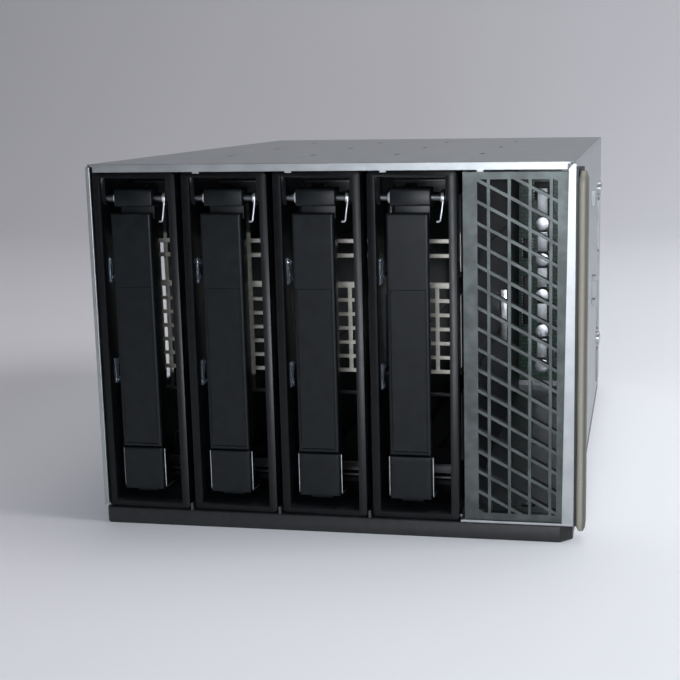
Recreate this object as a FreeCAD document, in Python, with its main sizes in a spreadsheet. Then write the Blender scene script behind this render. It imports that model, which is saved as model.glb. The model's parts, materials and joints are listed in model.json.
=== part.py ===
"""Four-bay drive cage for 3.5-inch drives on edge, with its hot-swap carriers and an air duct.

Millimetres, +Z up, the bays open towards -Y, +X to the right. The origin is the middle of the
base. Every size comes from the sheet named sizes, through the Size objects below.
"""

import FreeCAD, Part
import math
import os
import Sketcher
from FreeCAD import Placement, Rotation, Vector

BAYS = 4

DIMENSIONS = [
    # the steel box and the pan under it
    ("steel_width", 154.8, "outer width over the two side walls"),
    ("steel_height", 113.0, "floor underside to top of the cover"),
    ("depth", 226.0, "front edge to rear edge"),
    ("gauge", 0.8, "sheet metal thickness"),
    ("pan_height", 5.4, "base pan, from the surface that it stands on"),
    ("pan_wall", 1.0, "base pan thickness"),
    # the bays
    ("pitch", 29.85, "bay to bay"),
    ("first_bay", 15.4, "left outer face to the middle of the first bay"),
    ("board_front", 189.0, "front edge to the front of the backplane board"),
    ("board_thick", 1.6, "backplane board thickness"),
    # the carrier's front
    ("bezel_width", 27.8, "carrier front frame, across"),
    ("bezel_height", 109.9, "carrier front frame, up"),
    ("bezel_lift", 0.3, "gap between the pan and the carrier front"),
    ("bezel_recess", 1.0, "carrier front behind the cage's front edge"),
    ("bezel_rim", 4.0, "front frame, front to back"),
    ("bezel_rail", 2.5, "front frame, width of each upright"),
    ("sleeve_end", 34.0, "front edge to the rear of the carrier's sleeve"),
    # the carrier's rails, as far apart as the drive is wide
    ("drive_width", 101.6, "the drive's own width, upright here"),
    ("rail_thick", 2.6, "carrier rail, up"),
    ("rail_width", 24.0, "carrier rail, across"),
    ("rail_end", 181.0, "front edge to the rear end of the rails"),
    # the handle and its pivot
    ("handle_width", 13.2, "handle panel, across"),
    ("handle_shift", 1.53, "handle panel middle to the left of the bay's middle"),
    ("handle_top", 102.8, "top edge of the handle panel"),
    ("handle_split", 25.9, "joint between the handle panel and its latch"),
    ("handle_plate", 2.2, "handle's front plate, front to back"),
    ("handle_inset", 1.2, "handle's flanges in from the edges of the plate"),
    ("latch_foot", 11.8, "bottom edge of the latch"),
    ("handle_depth", 10.0, "handle panel's front to the rear edge of its flanges"),
    ("handle_wall", 1.2, "handle flange thickness"),
    ("pivot_length", 12.6, "pivot block, along the pin"),
    ("pin_height", 107.5, "pivot above the surface that the cage stands on"),
    ("pin_depth", 4.9, "pivot behind the cage's front edge"),
    ("pin_radius", 1.2, "pivot pin"),
    ("pin_play", 0.05, "radial clearance between the pin and its block"),
    # the grille
    ("duct_edge", 120.7, "left outer face to the left edge of the grille"),
    ("grille_set_back", 1.0, "grille behind the front edge"),
    ("grille_thick", 2.6, "grille, front to back"),
    ("grille_bar", 0.95, "width of a grille bar"),
    ("grille_row", 6.5, "grille row to row"),
    ("grille_column", 6.3, "grille column to column"),
    ("grille_slope", 28.0, "fall of the slanted bars towards the right, degrees"),
    # the gasket on the right wall
    ("gasket_gap", 0.7, "strip that carries the gasket"),
    ("gasket_reach", 3.6, "right wall to the outer face of the gasket"),
    ("gasket_depth", 9.0, "gasket, front to back"),
]


class Size:
    """A length that knows its number and the sheet expression that gives it."""

    def __init__(self, number, text=None):
        self.number = float(number)
        self.text = text or "(0 + %r)" % self.number

    def joined(self, other, sign, number):
        return Size(number, "(%s %s %s)" % (self.text, sign, other.text))

    def __add__(self, other):
        other = as_size(other)
        return self.joined(other, "+", self.number + other.number)

    def __sub__(self, other):
        other = as_size(other)
        return self.joined(other, "-", self.number - other.number)

    def __mul__(self, other):
        other = as_size(other)
        return self.joined(other, "*", self.number * other.number)

    def __truediv__(self, other):
        other = as_size(other)
        return self.joined(other, "/", self.number / other.number)

    def __radd__(self, other):
        return as_size(other) + self

    def __rsub__(self, other):
        return as_size(other) - self

    def __rmul__(self, other):
        return as_size(other) * self

    def __neg__(self):
        return 0 - self


def as_size(value):
    return value if isinstance(value, Size) else Size(value)


class Sizes:
    """The spreadsheet's cells, each as a Size under its own name."""

    def __init__(self, document, rows):
        sheet = document.addObject("Spreadsheet::Sheet", "sizes")
        for row, (alias, number, note) in enumerate(rows, 1):
            sheet.set("A%d" % row, alias)
            sheet.set("B%d" % row, str(number))
            sheet.set("C%d" % row, note)
            sheet.setAlias("B%d" % row, alias)
            setattr(self, alias, Size(number, "sizes." + alias))


doc = FreeCAD.newDocument("drive_cage")
D = Sizes(doc, DIMENSIONS)
doc.recompute()

# Datum positions in the part's own frame, all from the sheet
LEFT = -(D.steel_width + D.gasket_reach) / 2
RIGHT = LEFT + D.steel_width
FRONT = -D.depth / 2
FLOOR = D.pan_height + D.gauge
ROOF = D.pan_height + D.steel_height - D.gauge
BEZEL_Y = FRONT + D.bezel_recess
BEZEL_Z = D.pan_height + D.bezel_lift
BOARD_Y = FRONT + D.board_front
RAIL_GAP_Z = BEZEL_Z + (D.bezel_height - D.drive_width) / 2


def bay_middle(bay):
    return LEFT + D.first_bay + D.pitch * bay


# ---------------------------------------------------------------- helpers

def place(obj, x, y, z):
    for axis, size in zip("xyz", (x, y, z)):
        obj.setExpression("Placement.Base." + axis, as_size(size).text)


def box(name, corner, sides):
    """A block from its lowest corner and its three sides."""
    solid = doc.addObject("Part::Box", name)
    place(solid, *corner)
    for prop, size in zip(("Length", "Width", "Height"), sides):
        solid.setExpression(prop, as_size(size).text)
    return solid


TURNS = {
    "X": Rotation(Vector(0, 1, 0), 90),
    "Y": Rotation(Vector(1, 0, 0), -90),
    "Z": Rotation(),
}


def cylinder(name, axis, start, radius, length):
    """A round bar from the middle of its first end, along one of the axes."""
    solid = doc.addObject("Part::Cylinder", name)
    solid.Placement = Placement(Vector(), TURNS[axis])
    place(solid, *start)
    solid.setExpression("Radius", as_size(radius).text)
    solid.setExpression("Height", as_size(length).text)
    return solid


def prism(name, axis, start, sides, radius, length):
    """A bar with flat sides, as wide over its corners as a round bar of that radius."""
    solid = doc.addObject("Part::Prism", name)
    solid.Placement = Placement(Vector(), TURNS[axis])
    place(solid, *start)
    solid.Polygon = sides
    solid.setExpression("Circumradius", as_size(radius).text)
    solid.setExpression("Height", as_size(length).text)
    return solid


def fuse(name, *solids):
    result = doc.addObject("Part::MultiFuse", name)
    result.Shapes = list(solids)
    result.Refine = True
    return result


def cut(name, base, tool):
    result = doc.addObject("Part::Cut", name)
    result.Base = base
    result.Tool = tool
    return result


def group(name, solids):
    """Separate solids that share one node."""
    result = doc.addObject("Part::Compound", name)
    result.Links = list(solids)
    return result


def new_body(name, x, y, z):
    body = doc.addObject("PartDesign::Body", name)
    place(body, x, y, z)
    return body


def new_sketch(body, plane, lift=0):
    """A sketch on one of the body's own planes, lifted along the plane's normal."""
    sketch = body.newObject("Sketcher::SketchObject", body.Name + "_sketch")
    feature = next(f for f in body.Origin.OriginFeatures if f.Role == plane + "_Plane")
    sketch.AttachmentSupport = [(feature, "")]
    sketch.MapMode = "FlatFace"
    sketch.setExpression("AttachmentOffset.Base.z", as_size(lift).text)
    return sketch


def hold(sketch, kind, *target_and_size):
    """Adds one dimension to a sketch and ties it to the sheet."""
    *target, size = target_and_size
    size = as_size(size)
    index = sketch.addConstraint(Sketcher.Constraint(kind, *target, size.number))
    sketch.setExpression("Constraints[%d]" % index, size.text)


def hold_point(sketch, edge, end, x, y):
    hold(sketch, "DistanceX", -1, 1, edge, end, x)
    hold(sketch, "DistanceY", -1, 1, edge, end, y)


def outline(sketch, corners):
    """A closed outline of straight edges through the corners."""
    corners = [(as_size(x), as_size(y)) for x, y in corners]
    first = sketch.GeometryCount
    count = len(corners)
    points = [Vector(x.number, y.number, 0) for x, y in corners]
    for i in range(count):
        sketch.addGeometry(Part.LineSegment(points[i], points[(i + 1) % count]), False)
    for i, (x, y) in enumerate(corners):
        after = first + (i + 1) % count
        sketch.addConstraint(Sketcher.Constraint("Coincident", first + i, 2, after, 1))
        hold_point(sketch, first + i, 1, x, y)


def rectangle(sketch, x0, y0, x1, y1):
    outline(sketch, [(x0, y0), (x1, y0), (x1, y1), (x0, y1)])


def round_rectangle(sketch, x0, y0, x1, y1, radius):
    """A rectangle with round corners: four edges and four arcs tangent to them."""
    x0, y0, x1, y1, radius = map(as_size, (x0, y0, x1, y1, radius))
    centres = [(x1 - radius, y0 + radius), (x1 - radius, y1 - radius),
               (x0 + radius, y1 - radius), (x0 + radius, y0 + radius)]
    first = sketch.GeometryCount
    r = radius.number
    for corner, (x, y) in enumerate(centres):
        start = math.radians(90 * corner - 90)
        middle = Vector(x.number, y.number, 0)
        before = Vector(centres[corner - 1][0].number, centres[corner - 1][1].number, 0)
        out = Vector(math.cos(start), math.sin(start), 0) * r
        sketch.addGeometry(Part.LineSegment(before + out, middle + out), False)
        circle = Part.Circle(middle, Vector(0, 0, 1), r)
        sketch.addGeometry(Part.ArcOfCircle(circle, start, start + math.pi / 2), False)
    for corner, (x, y) in enumerate(centres):
        line, arc = first + 2 * corner, first + 2 * corner + 1
        after = first + (2 * corner + 2) % 8
        sketch.addConstraint(Sketcher.Constraint("Tangent", line, 2, arc, 1))
        sketch.addConstraint(Sketcher.Constraint("Tangent", arc, 2, after, 1))
        hold_point(sketch, arc, 3, x, y)
        hold(sketch, "Radius", arc, radius)


def clipped_rectangle(sketch, x0, y0, x1, y1, clip):
    """A rectangle with its corners cut off at 45 degrees."""
    outline(sketch, [(x0 + clip, y0), (x1 - clip, y0), (x1, y0 + clip), (x1, y1 - clip),
                     (x1 - clip, y1), (x0 + clip, y1), (x0, y1 - clip), (x0, y0 + clip)])


def circle(sketch, x, y, radius):
    x, y, radius = map(as_size, (x, y, radius))
    shape = Part.Circle(Vector(x.number, y.number, 0), Vector(0, 0, 1), radius.number)
    edge = sketch.addGeometry(shape, False)
    hold_point(sketch, edge, 3, x, y)
    hold(sketch, "Radius", edge, radius)


def pad(body, sketch, length, reverse=False):
    feature = body.newObject("PartDesign::Pad", body.Name + "_pad")
    feature.Profile = sketch
    feature.Reversed = reverse
    feature.setExpression("Length", as_size(length).text)
    return feature


def pocket(body, sketch, depth=None, reverse=False):
    """Cuts the sketch right through both ways, or to a depth against the plane's normal."""
    feature = body.newObject("PartDesign::Pocket", body.Name + "_pocket")
    feature.Profile = sketch
    if depth is None:
        feature.Type = "ThroughAll"
        feature.Midplane = True
    else:
        feature.Reversed = reverse
        feature.setExpression("Length", as_size(depth).text)
    return feature


def repeat(body, feature, first, second=None):
    """Repeats a feature in rows: each of first and second is (sketch, axis, step, count)."""
    pattern = body.newObject("PartDesign::LinearPattern", body.Name + "_pattern")
    pattern.Originals = [feature]
    for row, tail in ((first, ""), (second, "2")):
        if row is not None:
            sketch, axis, step, count = row
            setattr(pattern, "Direction" + tail, (sketch, [axis]))
            setattr(pattern, "Mode" + tail, "Extent")
            setattr(pattern, "Occurrences" + tail, count)
            pattern.setExpression("Length" + tail, (as_size(step) * (count - 1)).text)
    body.Tip = pattern
    return pattern


# ---------------------------------------------------------------- the steel box and its pan

MOUNT_X, MOUNT_Y, MOUNT_HOLE, CLEARANCE = 120, 190, 1.65, 2.4
TAB_FIRST, TAB_STEP, TAB_LENGTH, TAB_COUNT = 53, 59, 8, 3
FLANGE_FIRST, FLANGE_STEP, FLANGE_LENGTH, FLANGE_HEIGHT = 64, 56, 18, 8
HEM_HEIGHT, HEM_INSET = 2.5, 2.4


def mount_places():
    """The four mounting holes, square about the part's middle, from its front left corner."""
    return [(-LEFT + sign_x * MOUNT_X / 2, -FRONT + sign_y * MOUNT_Y / 2)
            for sign_x in (-1, 1) for sign_y in (-1, 1)]


def base_pan():
    """A shallow tray, open side down, that carries the cage."""
    body = new_body("base_pan", LEFT, FRONT, 0)
    shape = new_sketch(body, "XY")
    bevel = 4
    outline(shape, [(1.5, 0), (D.steel_width - bevel, 0), (D.steel_width - 0.3, bevel),
                    (D.steel_width - 0.3, D.depth - 1), (0.3, D.depth - 1), (0.3, 1.5)])
    pad(body, shape, D.pan_height)
    hollow = new_sketch(body, "XY")
    inner = D.pan_wall + 0.3
    outline(hollow, [(inner + 1, D.pan_wall), (D.steel_width - bevel - 0.7, D.pan_wall),
                     (D.steel_width - inner, bevel + 0.7),
                     (D.steel_width - inner, D.depth - 1 - D.pan_wall),
                     (inner, D.depth - 1 - D.pan_wall), (inner, D.pan_wall + 1)])
    pocket(body, hollow, D.pan_height - D.pan_wall, reverse=True)
    holes = new_sketch(body, "XY")
    for x, y in mount_places():
        circle(holes, x, y, MOUNT_HOLE)
    pocket(body, holes)
    window = new_sketch(body, "XY")
    rectangle(window, 20, 60, 42, 104)
    opening = pocket(body, window)
    repeat(body, opening, (window, "H_Axis", 45, 3), (window, "V_Axis", 64, 2))
    return body


def side_flanges(body, sketch):
    """Three short flanges along each side, just inside the walls."""
    for x in (D.gauge, D.steel_width - 2 * D.gauge):
        for i in range(3):
            y = FLANGE_FIRST + FLANGE_STEP * i
            rectangle(sketch, x, y, x + D.gauge, y + FLANGE_LENGTH)
    return sketch


def tab_slots(body):
    """Slots that take the tabs of the four dividers."""
    slot = new_sketch(body, "XY")
    middle = D.first_bay + D.pitch / 2
    half = D.gauge / 2 + 0.1
    rectangle(slot, middle - half, TAB_FIRST - 0.1, middle + half, TAB_FIRST + TAB_LENGTH + 0.1)
    opening = pocket(body, slot)
    repeat(body, opening, (slot, "H_Axis", D.pitch, BAYS), (slot, "V_Axis", TAB_STEP, TAB_COUNT))


LEDGE_REACH = 1.3


def floor_plate():
    """Cage floor: stops short behind the carrier fronts and comes forward under the grille."""
    body = new_body("floor_plate", LEFT, FRONT, D.pan_height)
    plate = new_sketch(body, "XY")
    step = D.bezel_recess + D.bezel_rim + 0.2
    ledge = D.duct_edge - LEDGE_REACH
    outline(plate, [(0, step), (ledge, step), (ledge, 0), (D.steel_width, 0),
                    (D.steel_width, D.depth), (0, D.depth)])
    pad(body, plate, D.gauge)
    flanges = new_sketch(body, "XY")
    side_flanges(body, flanges)
    pad(body, flanges, D.gauge + FLANGE_HEIGHT)
    rear = new_sketch(body, "XY")
    rectangle(rear, 6, D.depth - D.gauge, D.steel_width - 6, D.depth)
    pad(body, rear, 6)
    clearances = new_sketch(body, "XY")
    for x, y in mount_places():
        clipped_rectangle(clearances, x - CLEARANCE, y - CLEARANCE, x + CLEARANCE,
                          y + CLEARANCE, CLEARANCE / 2)
    pocket(body, clearances)
    tab_slots(body)
    return body


def top_cover():
    """Cage top, with its front hem folded down and a relief at each front corner."""
    body = new_body("top_cover", LEFT, FRONT, ROOF)
    plate = new_sketch(body, "XY")
    relief = 1.6
    outline(plate, [(relief, 0), (D.steel_width - relief, 0), (D.steel_width, relief),
                    (D.steel_width, D.depth), (0, D.depth), (0, relief)])
    pad(body, plate, D.gauge)
    hem = new_sketch(body, "XY", -HEM_HEIGHT + D.gauge)
    rectangle(hem, HEM_INSET, 0, D.steel_width - HEM_INSET, D.gauge)
    pad(body, hem, HEM_HEIGHT)
    tips = new_sketch(body, "XY", -HEM_HEIGHT + D.gauge - 0.5)
    for bay in range(1, BAYS + 1):
        tip = D.first_bay + D.pitch * (bay - 0.5) + 5.2
        rectangle(tips, tip, 0, tip + 2.2, D.gauge)
    pad(body, tips, 1)
    flanges = new_sketch(body, "XY", -FLANGE_HEIGHT)
    side_flanges(body, flanges)
    pad(body, flanges, FLANGE_HEIGHT + D.gauge / 2)
    rear = new_sketch(body, "XY", -5)
    rectangle(rear, 6, D.depth - D.gauge, D.steel_width - 6, D.depth)
    pad(body, rear, 5 + D.gauge / 2)
    tab_slots(body)
    return body


LEFT_RETURN = 1.4


def left_wall():
    """Side wall with a narrow return along its front edge, hook slots and a row of vents."""
    body = new_body("left_wall", LEFT, FRONT, FLOOR)
    sheet = new_sketch(body, "YZ")
    rectangle(sheet, 0, 0, D.depth, D.steel_height - 2 * D.gauge)
    pad(body, sheet, D.gauge)
    front_return = new_sketch(body, "XZ")
    rectangle(front_return, 0, 0, LEFT_RETURN, D.steel_height - 2 * D.gauge)
    pad(body, front_return, D.gauge, reverse=True)
    hooks = new_sketch(body, "YZ")
    hook_y = D.board_front + D.board_thick + 5
    for z in (18, 84):
        rectangle(hooks, hook_y - 0.2, z, hook_y + D.gauge + 0.2, z + 12)
    pocket(body, hooks)
    vents = new_sketch(body, "YZ")
    rectangle(vents, 46, 30, 52, 82)
    opening = pocket(body, vents)
    repeat(body, opening, (vents, "H_Axis", 14, 9))
    return body


RIB_Y, RIB_WIDTH = 190, 3.2
SCREW_LOW, SCREW_HIGH = 24, 91
RETURN_FOOT, RETURN_HEAD = 3.6, 2.1


def right_wall():
    """Side wall beside the duct, with a tapered return in front of the grille's edge, three
    upright ribs, lanced hooks, a slot and a round hole."""
    body = new_body("right_wall", RIGHT - D.gauge, FRONT, FLOOR)
    sheet = new_sketch(body, "YZ")
    top = D.steel_height - 2 * D.gauge
    rectangle(sheet, 0, 0, D.depth, top)
    pad(body, sheet, D.gauge)
    front_return = new_sketch(body, "XZ")
    outline(front_return, [(D.gauge - RETURN_FOOT, 0), (D.gauge, 0), (D.gauge, top),
                           (0, top), (D.gauge - RETURN_HEAD, top - 1.5)])
    pad(body, front_return, D.gauge, reverse=True)
    ribs = new_sketch(body, "YZ", D.gauge)
    for low, high in ((4, 20), (28, 50), (63, 87)):
        clipped_rectangle(ribs, RIB_Y - RIB_WIDTH / 2, low, RIB_Y + RIB_WIDTH / 2, high, 1.2)
    pad(body, ribs, 0.8)
    hooks = new_sketch(body, "YZ", D.gauge)
    for low, high in ((48, 50.5), (57.5, 60)):
        rectangle(hooks, 130, low, 136, high)
    rectangle(hooks, 120, 89, 123, 95)
    pad(body, hooks, 1.4)
    slots = new_sketch(body, "YZ")
    rectangle(slots, 130, 51.5, 136, 56.5)
    circle(slots, 204, 58, 2.6)
    pocket(body, slots)
    return body


DIVIDER_FRONT = 12


def divider(number):
    """Sheet between two bays: tabs for the floor and the top, two ribs, and a foot that runs
    forward under the carriers, except beside the grille."""
    middle = bay_middle(number - 1) + D.pitch / 2
    body = new_body("divider_%d" % number, middle - D.gauge / 2, FRONT, FLOOR)
    sheet = new_sketch(body, "YZ")
    rear, top = D.board_front - 2, ROOF - FLOOR
    foot = [(DIVIDER_FRONT, 2.4), (0.3, 1.6), (0.3, -D.gauge), (4.2, -D.gauge), (5, 0)]
    front = foot if number < BAYS else [(DIVIDER_FRONT, 0)]
    outline(sheet, front + [(rear, 0), (rear, top), (DIVIDER_FRONT, top)])
    pad(body, sheet, D.gauge)
    tabs = new_sketch(body, "YZ")
    for low in (-D.gauge, top - 0.4):
        for i in range(TAB_COUNT):
            y = TAB_FIRST + TAB_STEP * i
            rectangle(tabs, y, low, y + TAB_LENGTH, low + D.gauge + 0.4)
    pad(body, tabs, D.gauge)
    ribs = new_sketch(body, "YZ", D.gauge)
    for z in (34, 72):
        rectangle(ribs, 44, z, 164, z + 8)
    pad(body, ribs, 0.4)
    return body


# ---------------------------------------------------------------- grille, gasket and guides

def air_grille():
    """Frame with upright bars, and slanted slats that fall to the right across its window."""
    left, front, low = LEFT + D.duct_edge, FRONT + D.grille_set_back, FLOOR + 0.1
    width = D.steel_width - D.duct_edge - D.gauge - 0.2
    height = D.steel_height - HEM_HEIGHT - D.gauge - 0.7
    left_border, right_border, end_border = 4.4, 4.4, 2.2
    plate = box("grille_plate", (left, front, low), (width, D.grille_thick, height))
    window_corner = (left + left_border, front - 1, low + end_border)
    window_sides = (width - left_border - right_border, D.grille_thick + 2,
                    height - 2 * end_border)
    frame = cut("grille_frame", plate, box("grille_window", window_corner, window_sides))
    uprights = [
        box("grille_upright_%d" % i,
            (left + left_border + 2.95 + D.grille_column * i, front, low + 1),
            (D.grille_bar, D.grille_thick, height - 2))
        for i in range(4)
    ]
    slats = []
    slat_count = 19
    for i in range(slat_count):
        slat = box("grille_slat_%d" % i, (left + 2, front, low + 3.4 + D.grille_row * i),
                   (width + 4, D.grille_thick, D.grille_bar))
        slat.Placement = Placement(slat.Placement.Base, Rotation(Vector(0, 1, 0), 1))
        slat.setExpression("Placement.Rotation.Angle", D.grille_slope.text)
        slats.append(slat)
    clip = box("grille_clip", window_corner, window_sides)
    inside = doc.addObject("Part::Common", "grille_slats_clipped")
    inside.Base = fuse("grille_slats", *slats)
    inside.Tool = clip
    return fuse("air_grille", frame, *uprights, inside)


GASKET_LOW, GASKET_HIGH = 3.3, 115.2


def gasket_strip():
    """Conductive foam strip along the front of the right wall."""
    body = new_body("gasket_strip", RIGHT + D.gasket_gap, FRONT, GASKET_LOW)
    section = new_sketch(body, "XY")
    round_rectangle(section, 0, 0, D.gasket_reach - D.gasket_gap, D.gasket_depth, 1.2)
    pad(body, section, GASKET_HIGH - GASKET_LOW)
    return body


def gasket_carrier():
    """Dark strip between the wall and the gasket, with a lip that holds the gasket's rear."""
    body = new_body("gasket_carrier", RIGHT, FRONT, D.pan_height)
    section = new_sketch(body, "XY")
    outline(section, [(0, 0.5), (D.gasket_gap, 0.5), (D.gasket_gap, D.gasket_depth + 0.1),
                      (D.gasket_gap + 1.4, D.gasket_depth + 0.1),
                      (D.gasket_gap + 1.4, D.gasket_depth + 1), (0, D.gasket_depth + 1)])
    pad(body, section, D.steel_height - 2)
    return body


def guide_channel(bay, upper):
    """U channel on the floor, or under the top, that steers one carrier rail."""
    side = "upper" if upper else "lower"
    half, lip, web = D.rail_width / 2 + 0.35, 0.9, 0.5
    base, sign = (ROOF, -1) if upper else (FLOOR, 1)
    reach = 5.2 if upper else 3
    start = D.sleeve_end + 2
    body = new_body("%s_guide_%d" % (side, bay + 1), bay_middle(bay), FRONT, base)
    section = new_sketch(body, "XZ", -start)
    outline(section, [(-half - lip, 0), (half + lip, 0), (half + lip, sign * reach),
                      (half, sign * reach), (half, sign * web), (-half, sign * web),
                      (-half, sign * reach), (-half - lip, sign * reach)])
    pad(body, section, D.board_front - 3 - start, reverse=True)
    lead_in = new_sketch(body, "YZ")
    outline(lead_in, [(start - 0.1, sign * (web + 0.3)), (start + 4, sign * (reach + 0.1)),
                      (start - 0.1, sign * (reach + 0.1))])
    pocket(body, lead_in)
    return body


# ---------------------------------------------------------------- the backplane

BRACKET_Y = BOARD_Y + D.board_thick + 5
STANDOFFS = [(10, 10), (10, 100), (114, 10), (114, 100)]
SIGNAL_PLACES = [(38, 72), (67, 72)]
POWER_PLACE = (94, 70)
SAS_HEIGHT, SAS_WIDTH, SAS_DEPTH = 44, 5.6, 7.5
BOARD_END = 139


def backplane_bracket():
    """Steel plate behind the board: windows for air and plugs, hooks left, flange right."""
    body = new_body("backplane_bracket", LEFT + D.gauge, BRACKET_Y, FLOOR + 0.2)
    width, height = D.steel_width - 2 * D.gauge, ROOF - FLOOR - 0.4
    plate = new_sketch(body, "XZ")
    rectangle(plate, 0.1, 0, width - 0.1, height)
    pad(body, plate, D.gauge, reverse=True)
    hooks = new_sketch(body, "XZ")
    for z in (18.4, 84.4):
        rectangle(hooks, -D.gauge, z, 1, z + 11)
    pad(body, hooks, D.gauge, reverse=True)
    clear_of_flanges = FLANGE_HEIGHT + 0.5
    flange = new_sketch(body, "XY", clear_of_flanges)
    rectangle(flange, width - 0.1 - D.gauge, -12, width - 0.1, D.gauge)
    pad(body, flange, height - clear_of_flanges * 2)
    windows = new_sketch(body, "XZ")
    for x, z in SIGNAL_PLACES:
        rectangle(windows, x - D.gauge - 1, z - 1, x - D.gauge + 12, z + 25)
    x, z = POWER_PLACE
    rectangle(windows, x - D.gauge - 1, z - 1, x - D.gauge + 12, z + 27)
    rectangle(windows, BOARD_END + 0.5, 5, width - 3, 98)
    for bay in range(BAYS):
        middle = D.first_bay - D.gauge + D.pitch * bay
        rectangle(windows, middle - 2, 16, middle + 11, 58)
    pocket(body, windows)
    return body


def backplane_board():
    """Circuit board across the bays and half of the duct, which it leaves open at the right."""
    body = new_body("backplane_board", LEFT, BOARD_Y, FLOOR)
    board = new_sketch(body, "XZ")
    rectangle(board, 5, 4, BOARD_END, D.steel_height - 8)
    pad(body, board, D.board_thick, reverse=True)
    window = new_sketch(body, "XZ")
    middle = D.first_bay
    rectangle(window, middle - 1, 17, middle + 9, 57)
    opening = pocket(body, window)
    repeat(body, opening, (window, "H_Axis", D.pitch, BAYS))
    return body


def drive_connector(bay):
    """Upright edge socket for one drive: a housing with a slot between two guide horns."""
    x, z = bay_middle(bay) - 10.4, RAIL_GAP_Z + 12
    name = "socket_%d" % (bay + 1)
    housing = box(name + "_housing", (x, BOARD_Y - SAS_DEPTH + 2.5, z),
                  (SAS_WIDTH, SAS_DEPTH - 2.5, SAS_HEIGHT))
    horns = [box("%s_horn_%d" % (name, i), (x, BOARD_Y - SAS_DEPTH, z + shift),
                 (SAS_WIDTH, 3, 3.5))
             for i, shift in enumerate((0, SAS_HEIGHT - 3.5))]
    slot = box(name + "_slot", (x + 1.9, BOARD_Y - SAS_DEPTH - 1, z + 4.5),
               (1.8, SAS_DEPTH - 1, SAS_HEIGHT - 9))
    return cut(name, fuse(name + "_block", housing, *horns), slot)


def signal_connector(number, x, z):
    """Cable receptacle behind the board: a metal shell that a plug slides into."""
    name = "receptacle_%d" % number
    y = BOARD_Y + D.board_thick
    shell = box(name + "_shell", (LEFT + x, y, FLOOR + z), (11, 14, 24))
    mouth = box(name + "_mouth", (LEFT + x + 0.8, y + 2, FLOOR + z + 0.8), (9.4, 13, 22.4))
    tongue = box(name + "_tongue", (LEFT + x + 4.6, y + 1, FLOOR + z + 3), (1.8, 10, 18))
    return fuse(name, cut(name + "_hollow", shell, mouth), tongue)


def power_connector():
    """Eight-way power header with two columns of square sockets."""
    x, z = POWER_PLACE
    body = new_body("power_connector", LEFT + x, BOARD_Y + D.board_thick, FLOOR + z)
    block = new_sketch(body, "XZ")
    rectangle(block, 0, 0, 11, 26)
    pad(body, block, 13, reverse=True)
    socket = new_sketch(body, "XZ", -13)
    rectangle(socket, 1, 1.6, 4.8, 6.4)
    cavity = pocket(body, socket, 9, reverse=True)
    repeat(body, cavity, (socket, "H_Axis", 5.2, 2), (socket, "V_Axis", 6, 4))
    return body


def standoffs():
    """Hexagonal spacers between the board and its bracket."""
    y = BOARD_Y + D.board_thick
    return group("standoffs", [
        prism("standoff_%d" % i, "Y", (LEFT + x, y, FLOOR + z), 6, 2.9, BRACKET_Y - y)
        for i, (x, z) in enumerate(STANDOFFS)])


def board_screws():
    """Screw heads on the board's front, one before each spacer."""
    return group("board_screws", [
        prism("board_screw_%d" % i, "Y", (LEFT + x, BOARD_Y - 1.6, FLOOR + z), 10, 2.7, 1.6)
        for i, (x, z) in enumerate(STANDOFFS)])


def bracket_screws():
    """Screw heads outside the right wall, where the bracket's flange lies behind it."""
    return group("bracket_screws", [
        prism("bracket_screw_%d" % i, "X", (RIGHT, FRONT + RIB_Y, FLOOR + z), 12, 3.1, 1.8)
        for i, z in enumerate((SCREW_LOW, SCREW_HIGH))])


def board_capacitors():
    """A column of can capacitors on the part of the board that stands in the duct."""
    x = LEFT + 131
    return group("board_capacitors", [
        prism("capacitor_%d" % i, "Y", (x, BOARD_Y - 6.5, FLOOR + 12 + 16 * i), 12, 3.1, 6.5)
        for i in range(5)])


def board_chips():
    """Flat packages on the front of the board, in the duct."""
    places = ((121.5, 30, 4, 22), (121.5, 60, 5, 9), (126.6, 86, 8, 8))
    return group("board_chips", [
        box("chip_%d" % i, (LEFT + x, BOARD_Y - 1.2, FLOOR + z), (wide, 1.2, tall))
        for i, (x, z, wide, tall) in enumerate(places)])


# ---------------------------------------------------------------- the carriers

SLEEVE_INSET = 0.9
INNER_LOW, INNER_HIGH = 3.3, 108.4
BOSS_REACH, BOSS_HALF, BORE_INSET = 1.2, 2.2, 1.2


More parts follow.
